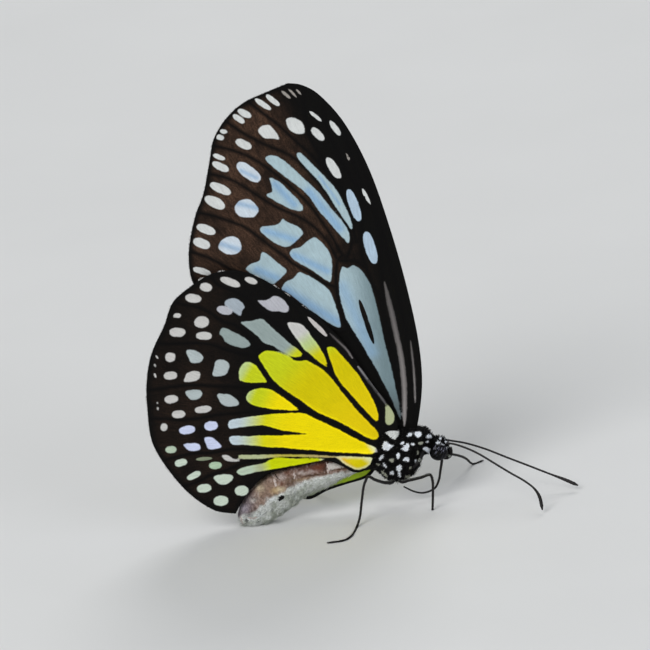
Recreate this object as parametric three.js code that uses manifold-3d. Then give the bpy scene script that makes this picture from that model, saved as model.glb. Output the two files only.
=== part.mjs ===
// Yellow glassy tiger butterfly, Parantica aspasia, at rest with its wings closed over its back.
// Millimetres. +X points to the head, +Y to the animal's left, +Z up, and the floor is z = 0.
// Places along the body are measured from the tip of the abdomen, which touches the floor at x = 0.
// The group at the end moves them so that the middle of the outline stands on the origin.

import * as THREE from 'three';
import { mergeVertices } from 'three/addons/utils/BufferGeometryUtils.js';
import Module from 'manifold-3d';

const wasm = await Module();
wasm.setup();

// ---------------------------------------------------------------------------------------------
// Driving dimensions
// ---------------------------------------------------------------------------------------------

const CENTRE_OF_OUTLINE = { x: 14.28, y: 0 };
const GAP = 0.3;
const EYE_GAP = 0.2;
const FLOOR_BLOCK = { side: 120, height: 60 };
const SAME_POINT = 1e-5;

// How finely each round shape is cut into flats: around and along.
const FACETS = {
  thoraxMain: [20, 14],
  thoraxFront: [16, 12],
  neck: [12, 8],
  shoulder: [14, 10],
  head: [16, 12],
  eye: [14, 10],
  eyeSocket: [12, 8],
  abdomen: { sides: 18, steps: 14 },
  limbSides: 8,
  legSteps: 18,
  antennaSteps: 18,
  proboscisSteps: 14,
  forelegSteps: 8,
  palpSteps: 6,
  wingEdge: 2,
};

const WING_THICKNESS = 0.5;
const WING_REACH = 12;

// How far each closed wing's middle plane stands from the plane of symmetry. The hindwings bulge
// out past this where they lie over the abdomen.
const FOREWING_OFFSET = 0.4;
const HINDWING_OFFSET = 1.2;
const CLEAR_OF_ABDOMEN = GAP + WING_THICKNESS / 2;
const BLEND = 0.4;

// The left wings lie a little lower and are drawn in a little towards their roots, so that the
// right pair covers them from the side.
const LEFT_WING_SET = {
  forewing: { root: [19.3, 8.8], size: 0.99, lowered: 0.2 },
  hindwing: { root: [16.6, 7.8], size: 0.975, lowered: 1.2 },
};

// Wing edges as [x, z], each edge a smooth curve that meets the next one at a corner.
const FOREWING_EDGES = {
  costa: [[20.0, 7.6], [20.9, 10.2], [21.75, 14.2], [21.95, 19.0], [21.5, 25.3], [20.6, 32.2],
    [19.2, 39.6], [17.2, 45.4], [14.9, 49.1], [13.1, 50.6], [11.6, 51.05]],
  margin: [[11.6, 51.05], [9.2, 50.4], [6.4, 49.5], [4.3, 48.0], [2.6, 45.8], [1.7, 43.0],
    [0.6, 39.6], [-0.7, 37.0], [-1.8, 33.6], [-2.1, 31.0], [-1.9, 29.3], [-1.2, 27.8]],
  dorsum: [[-1.2, 27.8], [2.0, 25.4], [7.0, 20.6], [12.0, 14.8], [15.6, 10.4], [18.0, 7.0]],
};
const HINDWING_OUTER_EDGES = {
  costa: [[18.0, 7.6], [18.35, 9.9], [17.7, 12.2], [16.2, 14.9], [14.0, 19.6], [12.0, 22.7],
    [8.8, 26.2], [6.0, 28.8], [3.6, 30.25], [1.2, 30.55], [-0.6, 30.15], [-2.0, 29.45]],
  margin: [[-2.0, 29.45], [-4.4, 27.8], [-5.8, 25.1], [-7.6, 22.1], [-8.6, 18.8], [-8.95, 15.5],
    [-8.95, 11.8], [-7.7, 8.4], [-5.7, 5.1], [-3.2, 2.7], [-0.85, 1.95]],
};
// The right hindwing lies on top of the abdomen, and the left one hangs down its far side.
const HINDWING_INNER_EDGE = {
  right: [[-0.85, 1.95], [0.2, 3.5], [1.6, 5.05], [3.4, 6.25], [6.5, 6.62], [9.8, 6.7], [11.6, 6.0],
    [12.6, 5.2], [13.5, 4.95], [14.5, 5.4], [15.3, 6.6], [16.8, 7.0]],
  left: [[-0.85, 1.95], [0.2, 3.5], [1.6, 5.05], [3.2, 5.5], [4.6, 4.4], [5.5, 2.5], [7.1, 1.6],
    [9.3, 2.3], [11.5, 2.7], [14.0, 3.1], [15.2, 4.1], [16.4, 6.4]],
};

// Grid lines on which the wing plates bend: close together only by the body.
const FOREWING_GRID = { x: [-4, 13, 15.5, 17.5, 19.5, 21, 23], z: [6, 8, 9, 10, 11.5, 14, 18, 53] };
const HINDWING_GRID = {
  x: [-10, 0, 2, 4, 6, 8, 10, 12, 13.5, 15, 16.5, 18, 20],
  z: [0.5, 2, 3, 4, 5, 6, 7, 8, 9.5, 12, 16, 32],
};

// The abdomen's middle line as [x, z] and its half height there. It is less wide than high.
const ABDOMEN_LINE = [[0.6, 1.05], [1.9, 2.0], [3.0, 2.8], [4.4, 3.55], [6.9, 4.55], [9.7, 4.95],
  [12.4, 5.4], [15.6, 6.0]];
const ABDOMEN_HALF_HEIGHT = [1.4, 2.25, 2.5, 2.5, 2.05, 1.75, 1.5, 1.5];
const ABDOMEN_WIDTH_TO_HEIGHT = 0.82;

// Rounded masses as centre and half lengths along X, Y and Z.
const THORAX_MAIN = { at: [18.0, 0, 6.1], half: [2.75, 2.3, 3.25] };
const THORAX_FRONT = { at: [20.1, 0, 7.35], half: [1.85, 1.65, 1.6] };
// The bulges at the sides of the back that the wings hinge on.
const SHOULDER = { at: [17.45, 0.95, 8.1], half: [1.35, 0.95, 1.2] };
const NECK = { at: [21.3, 0, 6.4], half: [1.0, 0.95, 1.0] };
const HEAD = { at: [22.6, 0, 5.95], half: [1.25, 1.05, 1.4] };
const EYE = { at: [22.4, 1.05, 5.85], half: [0.98, 0.56, 1.02] };

// Limbs and feelers as points [x, y, z] along their middle lines, with the radius at each point.
const FOOT_HEIGHT = 0.2;
const LEGS = {
  midleg_right: {
    points: [[17.9, -1.0, 3.0], [18.7, -1.4, 3.1], [20.1, -2.4, 3.6], [21.2, -3.1, 4.0],
      [21.35, -3.3, 3.4], [21.2, -3.4, 1.9], [20.95, -3.5, 0.3], [20.92, -3.52, -0.1]],
    radii: [0.6, 0.48, 0.36, 0.3, 0.27, 0.26, 0.25, 0.25],
  },
  hindleg_right: {
    points: [[16.9, -1.0, 3.1], [16.2, -1.7, 3.3], [15.0, -2.9, 4.3], [14.3, -3.6, 5.0], [13.8, -4.0, 4.4],
      [13.2, -4.6, 2.5], [12.8, -4.9, 0.95], [12.3, -5.7, FOOT_HEIGHT], [11.5, -8.4, FOOT_HEIGHT],
      [10.7, -9.35, FOOT_HEIGHT], [8.8, -9.45, FOOT_HEIGHT]],
    radii: [0.6, 0.5, 0.36, 0.3, 0.28, 0.26, 0.26, 0.25, 0.25, 0.25, 0.25],
  },
  midleg_left: {
    points: [[17.9, 1.0, 3.0], [18.9, 1.6, 3.3], [20.5, 2.7, 4.5], [22.2, 3.8, 4.5], [23.3, 4.5, 3.5],
      [24.7, 6.0, 2.4], [25.5, 7.6, 1.3], [26.2, 8.8, FOOT_HEIGHT], [27.3, 9.43, FOOT_HEIGHT]],
    radii: [0.6, 0.48, 0.36, 0.3, 0.27, 0.26, 0.25, 0.25, 0.25],
  },
  hindleg_left: {
    points: [[16.9, 1.0, 3.1], [16.2, 2.1, 2.9], [15.0, 3.2, 3.8], [13.7, 3.9, 4.8], [12.9, 4.2, 4.2],
      [10.4, 5.6, 2.1], [8.1, 6.7, 0.4], [6.8, 8.0, FOOT_HEIGHT], [5.4, 9.45, FOOT_HEIGHT]],
    radii: [0.6, 0.5, 0.36, 0.3, 0.28, 0.26, 0.25, 0.25, 0.25],
  },
};
// The front legs of this family are stunted and lie folded against the breast.
const FORELEG = {
  points: [[20.8, 1.2, 6.2], [20.42, 1.88, 5.6], [19.95, 2.12, 5.1], [19.6, 2.22, 4.9]],
  radii: [0.3, 0.28, 0.26, 0.25],
};
const ANTENNAE = {
  antenna_left: {
    points: [[23.2, 0.3, 6.7], [24.05, 0.1, 6.5], [25.6, -0.1, 6.05], [27.75, -0.5, 5.15], [29.8, -1.0, 4.1],
      [32.05, -1.6, 3.0], [34.05, -2.4, 2.1], [36.0, -3.2, 1.25], [37.3, -3.9, 0.65]],
    radii: [0.27, 0.25, 0.25, 0.25, 0.25, 0.25, 0.26, 0.33, 0.3],
  },
  antenna_right: {
    points: [[23.2, -0.3, 6.35], [24.0, -0.55, 6.4], [25.5, -1.3, 5.95], [26.85, -2.3, 5.4], [28.45, -3.6, 4.5],
      [30.0, -4.95, 3.65], [31.45, -6.3, 2.95], [32.4, -7.4, 2.3], [32.85, -8.4, 1.6], [32.95, -9.4, 0.45]],
    radii: [0.27, 0.25, 0.25, 0.25, 0.25, 0.25, 0.25, 0.28, 0.33, 0.3],
  },
};
const PROBOSCIS = {
  points: [[22.85, 0, 5.2], [22.7, 0, 4.3], [22.4, 0, 3.2], [22.1, 0, 2.15], [21.5, 0, 1.2], [20.2, 0, 0.85],
    [19.2, 0, 1.15], [18.1, 0, 1.9]],
  radii: [0.27, 0.26, 0.25, 0.25, 0.25, 0.25, 0.25, 0.25],
};
const PALP = {
  points: [[22.9, 0.4, 4.85], [23.45, 0.42, 4.85], [23.8, 0.42, 5.15], [23.9, 0.4, 5.5]],
  radii: [0.3, 0.32, 0.3, 0.25],
};

const BLACK = new THREE.MeshStandardMaterial({ color: 0x16120f, roughness: 0.7, metalness: 0 });
const GLOSSY_BLACK = new THREE.MeshStandardMaterial({ color: 0x141217, roughness: 0.2, metalness: 0 });
const WING_BROWN = new THREE.MeshStandardMaterial({ color: 0x3a2c24, roughness: 0.8, metalness: 0 });
const WING_YELLOW = new THREE.MeshStandardMaterial({ color: 0xd8cf12, roughness: 0.8, metalness: 0 });
const ABDOMEN_BROWN = new THREE.MeshStandardMaterial({ color: 0x7d6657, roughness: 0.8, metalness: 0 });

// ---------------------------------------------------------------------------------------------
// Solids
// ---------------------------------------------------------------------------------------------

// A closed geometry as a solid for cutting and joining. Triangles that the merged poles leave
// with no area are dropped.
function toSolid(geometry) {
  const bare = geometry.clone();
  bare.deleteAttribute('normal');
  bare.deleteAttribute('uv');
  const merged = mergeVertices(bare, SAME_POINT);
  const triangles = [];
  for (let i = 0; i < merged.index.count; i += 3) {
    const corners = [0, 1, 2].map((k) => merged.index.getX(i + k));
    if (new Set(corners).size === 3) triangles.push(...corners);
  }
  return new wasm.Manifold(new wasm.Mesh({
    numProp: 3,
    vertProperties: new Float32Array(merged.attributes.position.array),
    triVerts: new Uint32Array(triangles),
  }));
}

function toGeometry(solid) {
  const mesh = solid.getMesh();
  const geometry = new THREE.BufferGeometry();
  geometry.setAttribute('position', new THREE.BufferAttribute(new Float32Array(mesh.vertProperties), 3));
  geometry.setIndex(new THREE.BufferAttribute(new Uint32Array(mesh.triVerts), 1));
  geometry.computeVertexNormals();
  return geometry;
}

function mirrored(points) {
  return points.map(([x, y, z]) => [x, -y, z]);
}

function roundedMass({ at, half }, facets, side = 1, grow = 0) {
  const sphere = new THREE.SphereGeometry(1, ...facets);
  sphere.rotateX(Math.PI / 2);
  sphere.scale(half[0] + grow, half[1] + grow, half[2] + grow);
  sphere.translate(at[0], side * at[1], at[2]);
  return toSolid(sphere);
}

// A turned solid with round ends, bent along a curve. radiusAt gives the radius at a fraction of
// the curve's length, and widthRatio narrows it across the curve's own plane.
function bentSpindle(curve, radiusAt, { sides, steps, widthRatio = 1 }) {
  const length = curve.getLength();
  const frames = curve.computeFrenetFrames(steps);
  const capAngles = [0, Math.PI / 4];
  const profile = capAngles.map((a) => new THREE.Vector2(radiusAt(0) * Math.sin(a), -radiusAt(0) * Math.cos(a)));
  for (let i = 0; i <= steps; i += 1) {
    profile.push(new THREE.Vector2(radiusAt(i / steps), (length * i) / steps));
  }
  for (const a of capAngles.toReversed()) {
    profile.push(new THREE.Vector2(radiusAt(1) * Math.sin(a), length + radiusAt(1) * Math.cos(a)));
  }
  const turned = new THREE.LatheGeometry(profile, sides);
  const position = turned.attributes.position;
  const vertex = new THREE.Vector3();
  for (let i = 0; i < position.count; i += 1) {
    vertex.fromBufferAttribute(position, i);
    const along = THREE.MathUtils.clamp(vertex.y / length, 0, 1);
    const past = vertex.y - along * length;
    const ring = Math.round(along * steps);
    const bent = curve.getPointAt(along);
    bent.addScaledVector(frames.tangents[ring], past);
    bent.addScaledVector(frames.normals[ring], vertex.z);
    bent.addScaledVector(frames.binormals[ring], vertex.x * widthRatio);
    position.setXYZ(i, bent.x, bent.y, bent.z);
  }
  return toSolid(turned);
}

// Linear interpolation of a short list of values at a fraction of its length.
function valueAlong(values, fraction) {
  const place = fraction * (values.length - 1);
  const before = Math.min(Math.floor(place), values.length - 2);
  return THREE.MathUtils.lerp(values[before], values[before + 1], place - before);
}

function limb({ points, radii }, steps) {
  const curve = new THREE.CatmullRomCurve3(points.map((p) => new THREE.Vector3(...p)), false, 'centripetal');
  // The radii belong to the points, so a fraction of the length is turned into the curve's own
  // parameter before it is looked up.
  const radiusAt = (fraction) => valueAlong(radii, curve.getUtoTmapping(fraction));
  return bentSpindle(curve, radiusAt, { sides: FACETS.limbSides, steps });
}

// Everything above the floor plane: feet that reach just below it are left with small flats.
function aboveFloor(solid) {
  const block = new THREE.BoxGeometry(FLOOR_BLOCK.side, FLOOR_BLOCK.side, FLOOR_BLOCK.height);
  block.translate(0, 0, FLOOR_BLOCK.height / 2);
  return solid.intersect(toSolid(block));
}

// ---------------------------------------------------------------------------------------------
// Body
// ---------------------------------------------------------------------------------------------

const abdomenCurve = new THREE.CatmullRomCurve3(ABDOMEN_LINE.map(([x, z]) => new THREE.Vector3(x, 0, z)));

function abdomenHalfHeightAt(fraction) {
  return valueAlong(ABDOMEN_HALF_HEIGHT, abdomenCurve.getUtoTmapping(fraction));
}

// Half the abdomen's width at a place [x, z] in side view, or 0 above and below it.
const ABDOMEN_SAMPLES = 60;
function abdomenHalfWidthAt(x, z) {
  let best = 0;
  for (let i = 0; i <= ABDOMEN_SAMPLES; i += 1) {
    const fraction = i / ABDOMEN_SAMPLES;
    const middle = abdomenCurve.getPointAt(fraction);
    const half = abdomenHalfHeightAt(fraction);
    const off = Math.hypot(x - middle.x, z - middle.z) / half;
    if (off < 1) best = Math.max(best, ABDOMEN_WIDTH_TO_HEIGHT * half * Math.sqrt(1 - off * off));
  }
  return best;
}

function thorax(grow = 0) {
  return roundedMass(THORAX_MAIN, FACETS.thoraxMain, 1, grow)
    .add(roundedMass(THORAX_FRONT, FACETS.thoraxFront, 1, grow))
    .add(roundedMass(SHOULDER, FACETS.shoulder, 1, grow))
    .add(roundedMass(SHOULDER, FACETS.shoulder, -1, grow))
    .add(roundedMass(NECK, FACETS.neck, 1, grow));
}

function abdomenMass(grow = 0) {
  return bentSpindle(abdomenCurve, (fraction) => abdomenHalfHeightAt(fraction) + grow,
    { ...FACETS.abdomen, widthRatio: ABDOMEN_WIDTH_TO_HEIGHT });
}

function abdomen() {
  return aboveFloor(abdomenMass()).subtract(thorax(GAP));
}

function headMass(grow = 0) {
  return roundedMass(HEAD, FACETS.head, 1, grow);
}

function head() {
  return headMass()
    .subtract(thorax(GAP))
    .subtract(roundedMass(EYE, FACETS.eyeSocket, 1, EYE_GAP))
    .subtract(roundedMass(EYE, FACETS.eyeSocket, -1, EYE_GAP));
}

function eye(side) {
  return roundedMass(EYE, FACETS.eye, side).subtract(thorax(GAP));
}

// ---------------------------------------------------------------------------------------------
// Wings
// ---------------------------------------------------------------------------------------------

function smoothMax(a, b) {
  return (a + b + Math.sqrt((a - b) ** 2 + BLEND ** 2)) / 2;
}

function forewingOffset() {
  return FOREWING_OFFSET;
}

function hindwingOffset(x, z) {
  return smoothMax(HINDWING_OFFSET, abdomenHalfWidthAt(x, z) + CLEAR_OF_ABDOMEN);
}

// A plate on a grid in the XZ plane, pushed out sideways by offsetAt.
function bentPlate(grid, side, offsetAt) {
  const columns = grid.x.length - 1;
  const rows = grid.z.length - 1;
  const plate = new THREE.BoxGeometry(columns, rows, WING_THICKNESS, columns, rows, 1);
  const position = plate.attributes.position;
  for (let i = 0; i < position.count; i += 1) {
    const x = grid.x[Math.round(position.getX(i) + columns / 2)];
    const z = grid.z[Math.round(position.getY(i) + rows / 2)];
    position.setXYZ(i, x, side * offsetAt(x, z) - position.getZ(i), z);
  }
  return toSolid(plate);
}

// Turns an outline downwards about the wing's root, by degrees, and scales it there.
function lowerWing(points, { root, size, lowered }) {
  const turn = THREE.MathUtils.degToRad(lowered);
  const centre = new THREE.Vector2(...root);
  return points.map(([x, z]) => {
    const place = new THREE.Vector2(x, z).sub(centre).multiplyScalar(size).add(centre);
    return place.rotateAround(centre, turn).toArray();
  });
}

function outlinePrism(edges) {
  const shape = new THREE.Shape();
  shape.moveTo(...edges[0][0]);
  for (const edge of edges) {
    shape.splineThru(edge.slice(1).map(([x, z]) => new THREE.Vector2(x, z)));
  }
  shape.closePath();
  const prism = new THREE.ExtrudeGeometry(shape, {
    depth: 2 * WING_REACH,
    bevelEnabled: false,
    curveSegments: FACETS.wingEdge,
  });
  prism.translate(0, 0, -WING_REACH);
  prism.rotateX(Math.PI / 2);
  return toSolid(prism);
}

function wing(edges, grid, side, offsetAt) {
  return bentPlate(grid, side, offsetAt)
    .intersect(outlinePrism(edges))
    .subtract(thorax(GAP));
}

function forewing(side) {
  const { costa, margin, dorsum } = FOREWING_EDGES;
  const right = [costa, margin, dorsum];
  const edges = side < 0 ? right : right.map((edge) => lowerWing(edge, LEFT_WING_SET.forewing));
  return wing(edges, FOREWING_GRID, side, forewingOffset);
}

function hindwing(side) {
  const outer = Object.values(HINDWING_OUTER_EDGES);
  const edges = side < 0
    ? [...outer, HINDWING_INNER_EDGE.right]
    : [...outer, HINDWING_INNER_EDGE.left].map((edge) => lowerWing(edge, LEFT_WING_SET.hindwing));
  return wing(edges, HINDWING_GRID, side, hindwingOffset).subtract(abdomenMass(GAP));
}

// ---------------------------------------------------------------------------------------------
// Limbs and feelers
// ---------------------------------------------------------------------------------------------

function leg(name) {
  return aboveFloor(limb(LEGS[name], FACETS.legSteps)).subtract(thorax(GAP));
}

function foreleg(side) {
  const points = side < 0 ? mirrored(FORELEG.points) : FORELEG.points;
  return limb({ ...FORELEG, points }, FACETS.forelegSteps).subtract(thorax(GAP));
}

function palp(side) {
  const points = side < 0 ? mirrored(PALP.points) : PALP.points;
  return limb({ ...PALP, points }, FACETS.palpSteps).subtract(headMass(EYE_GAP));
}

function feeler(shape, steps) {
  return limb(shape, steps).subtract(headMass(EYE_GAP));
}

// ---------------------------------------------------------------------------------------------
// Assembly
// ---------------------------------------------------------------------------------------------

const butterfly = new THREE.Group();
butterfly.position.set(-CENTRE_OF_OUTLINE.x, -CENTRE_OF_OUTLINE.y, 0);

function place(name, solid, material) {
  const mesh = new THREE.Mesh(toGeometry(solid), material);
  mesh.name = name;
  butterfly.add(mesh);
}

place('thorax', thorax(), BLACK);
place('abdomen', abdomen(), ABDOMEN_BROWN);
place('head', head(), BLACK);
place('proboscis', feeler(PROBOSCIS, FACETS.proboscisSteps), BLACK);
for (const name of Object.keys(LEGS)) {
  place(name, leg(name), BLACK);
}
for (const name of Object.keys(ANTENNAE)) {
  place(name, feeler(ANTENNAE[name], FACETS.antennaSteps), BLACK);
}
for (const [side, label] of [[1, 'left'], [-1, 'right']]) {
  place(`eye_${label}`, eye(side), GLOSSY_BLACK);
  place(`palp_${label}`, palp(side), BLACK);
  place(`foreleg_${label}`, foreleg(side), BLACK);
  place(`forewing_${label}`, forewing(side), WING_BROWN);
  place(`hindwing_${label}`, hindwing(side), WING_YELLOW);
}

export default butterfly;
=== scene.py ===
"""Yellow glassy tiger butterfly at rest: patterned scaly wings, furry body, glossy eyes, thin black limbs.

Places are in millimetres from the tip of the abdomen, as (x, z) on a wing and (x, y, z) on the body,
and are moved to the row frame, in metres, when a mesh is made. +X is towards the head, +Y the left.
"""
import math

import bpy
import numpy as np
from mathutils import Matrix, Vector, noise
from mathutils.geometry import delaunay_2d_cdt


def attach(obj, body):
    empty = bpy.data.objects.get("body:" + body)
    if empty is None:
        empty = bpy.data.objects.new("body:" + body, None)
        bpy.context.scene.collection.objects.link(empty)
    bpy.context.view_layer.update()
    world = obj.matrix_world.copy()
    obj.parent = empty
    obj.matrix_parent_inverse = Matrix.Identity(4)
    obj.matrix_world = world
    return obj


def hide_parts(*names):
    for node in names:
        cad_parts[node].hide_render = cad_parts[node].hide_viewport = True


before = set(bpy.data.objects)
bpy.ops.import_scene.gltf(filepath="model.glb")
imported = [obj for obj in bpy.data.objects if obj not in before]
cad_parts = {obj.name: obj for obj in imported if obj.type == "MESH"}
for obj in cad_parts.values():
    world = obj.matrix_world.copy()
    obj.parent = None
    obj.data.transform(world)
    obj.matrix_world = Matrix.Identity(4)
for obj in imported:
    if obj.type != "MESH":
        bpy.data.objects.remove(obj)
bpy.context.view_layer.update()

MM = 0.001
TIP_TO_CENTRE = 14.28
SIDES = (("right", -1), ("left", 1))
# Farther than any mark or vein is felt, in mm.
FAR = 9.0
chance = np.random.default_rng(26)


# ---- Small helpers ----

def linear(hex_colour):
    """An sRGB hex colour as linear red, green and blue."""
    values = [int(hex_colour[i:i + 2], 16) / 255 for i in (1, 3, 5)]
    return tuple(v / 12.92 if v <= 0.04045 else ((v + 0.055) / 1.055) ** 2.4 for v in values)


def smooth_line(points, steps=6, closed=False):
    """Points on the smooth curve that passes through the given ones."""
    p = np.asarray(points, float)
    if closed:
        before, start, end, after = np.roll(p, 1, 0), p, np.roll(p, -1, 0), np.roll(p, -2, 0)
    else:
        padded = np.vstack([p[:1], p, p[-1:]])
        before, start, end, after = padded[:-3], padded[1:-2], padded[2:-1], padded[3:]
    t = (np.arange(steps) / steps)[:, None, None]
    curve = 0.5 * (2 * start + (end - before) * t
                   + (2 * before - 5 * start + 4 * end - after) * t ** 2
                   + (3 * start - before - 3 * end + after) * t ** 3)
    curve = curve.transpose(1, 0, 2).reshape(-1, p.shape[1])
    return curve if closed else np.vstack([curve, p[-1:]])


def evenly(line, spacing):
    """The same line with its points about spacing apart."""
    lengths = np.linalg.norm(np.diff(line, axis=0), axis=1)
    reached = np.concatenate([[0], np.cumsum(lengths)])
    count = max(2, int(round(reached[-1] / spacing)) + 1)
    wanted = np.linspace(0, reached[-1], count)
    return np.stack([np.interp(wanted, reached, line[:, k]) for k in range(line.shape[1])], 1)


def distance_to_line(places, line):
    """Shortest distance from each place to a line of points, and how far along the line that is, 0 to 1."""
    best = np.full(len(places), 1e9)
    along = np.zeros(len(places))
    segments = len(line) - 1
    for i in range(segments):
        way = line[i + 1] - line[i]
        t = np.clip((places - line[i]) @ way / max(way @ way, 1e-12), 0, 1)
        off = np.linalg.norm(places - line[i] - t[:, None] * way, axis=1)
        closer = off < best
        best[closer] = off[closer]
        along[closer] = (i + t[closer]) / segments
    return best, along


def inside(places, outline):
    """Whether each place is inside a closed outline."""
    found = np.zeros(len(places), bool)
    x, z = places[:, 0], places[:, 1]
    for (x1, z1), (x2, z2) in zip(outline, np.roll(outline, -1, 0)):
        crosses = (z1 > z) != (z2 > z)
        with np.errstate(divide="ignore", invalid="ignore"):
            found ^= crosses & (x < (x2 - x1) * (z - z1) / (z2 - z1) + x1)
    return found


def smooth_step(low, high, value):
    """0 up to low and 1 from high on, with a soft rise between. Low may be the larger of the two."""
    t = np.clip((value - low) / (high - low), 0, 1)
    return t * t * (3 - 2 * t)


def varied(count, low, high):
    return low + (high - low) * chance.random(count)


def unit(vectors):
    """The same directions, each of length 1."""
    return vectors / np.linalg.norm(vectors, axis=-1, keepdims=True)


def laid_on(lie, outward):
    """Directions turned until they lie flat on a surface that faces outward."""
    return unit(lie - outward * np.sum(lie * outward, 1)[:, None])


def ring_of(outline):
    """A closed outline as a line that ends where it starts."""
    return np.vstack([outline, outline[:1]])


def tube_faces(rings, around):
    """Faces of a closed tube: the bands between its rings of points, then a fan at each end."""
    sides = [(j, (j + 1) % around) for j in range(around)]
    last, end = (rings - 1) * around, rings * around
    faces = [(i + j, i + k, i + around + k, i + around + j) for i in range(0, last, around) for j, k in sides]
    return faces + [(end, k, j) for j, k in sides] + [(end + 1, last + j, last + k) for j, k in sides]


def smooth_max(a, b, blend):
    return (a + b + np.sqrt((a - b) ** 2 + blend ** 2)) / 2


def smooth_min(a, b, blend):
    return -smooth_max(-a, -b, blend)


def make_piece(name, places, faces):
    """A mesh object from places in millimetres from the abdomen's tip."""
    places = np.asarray(places, float).copy()
    places[:, 0] -= TIP_TO_CENTRE
    mesh = bpy.data.meshes.new(name)
    mesh.from_pydata((places * MM).tolist(), [], [list(map(int, f)) for f in faces])
    mesh.polygons.foreach_set("use_smooth", [True] * len(mesh.polygons))
    mesh.update()
    piece = bpy.data.objects.new(name, mesh)
    bpy.context.scene.collection.objects.link(piece)
    return piece


def note_values(piece, name, values):
    """Stores one number or one colour at each point of a piece."""
    values = np.asarray(values, float)
    if values.ndim == 1:
        piece.data.attributes.new(name, "FLOAT", "POINT").data.foreach_set("value", values)
        return
    colours = np.hstack([values, np.ones((len(values), 1))])
    piece.data.attributes.new(name, "FLOAT_COLOR", "POINT").data.foreach_set("color", colours.ravel())


def lay_out(piece, spots, wrap=0.0):
    """The piece's flat layout, with one (u, v) for each point of the mesh. Faces that close a
    round of height wrap carry on past its top instead of crossing back over it."""
    mesh = piece.data
    layer = mesh.uv_layers.new(name="OFBake")
    corners = np.empty(len(mesh.loops), np.int32)
    mesh.loops.foreach_get("vertex_index", corners)
    flat = np.asarray(spots, float)[corners]
    if wrap:
        starts, counts = np.empty(len(mesh.polygons), np.int32), np.empty(len(mesh.polygons), np.int32)
        mesh.polygons.foreach_get("loop_start", starts)
        mesh.polygons.foreach_get("loop_total", counts)
        top = np.repeat(np.maximum.reduceat(flat[:, 1], starts), counts)
        flat[:, 1] += wrap * (flat[:, 1] < top - wrap / 2)
    layer.data.foreach_set("uv", flat.ravel())


def finish_piece(piece, material, slot, *nodes):
    """Gives a piece its material, the body it rides on and the nodes that it replaces. The slot is not used."""
    piece.data.materials.append(material)
    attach(piece, "root")
    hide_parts(*nodes)


# ---- Materials ----

def add(tree, kind, settings=None, inputs=None):
    """Adds a shader node with its settings, and sets or links its inputs. A node given as an input
    stands for its first output."""
    node = tree.nodes.new("ShaderNode" + kind)
    for name, value in (settings or {}).items():
        setattr(node, name, value)
    for key, value in (inputs or {}).items():
        if isinstance(value, bpy.types.Node):
            value = value.outputs[0]
        if isinstance(value, bpy.types.NodeSocket):
            tree.links.new(value, node.inputs[key])
        else:
            node.inputs[key].default_value = value
    return node


def new_material(name):
    material = bpy.data.materials.new(name)
    material.use_nodes = True
    material.node_tree.nodes.clear()
    return material, material.node_tree


def rgba(hex_colour):
    return (*linear(hex_colour), 1.0)


FINE = 1 / MM


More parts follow.
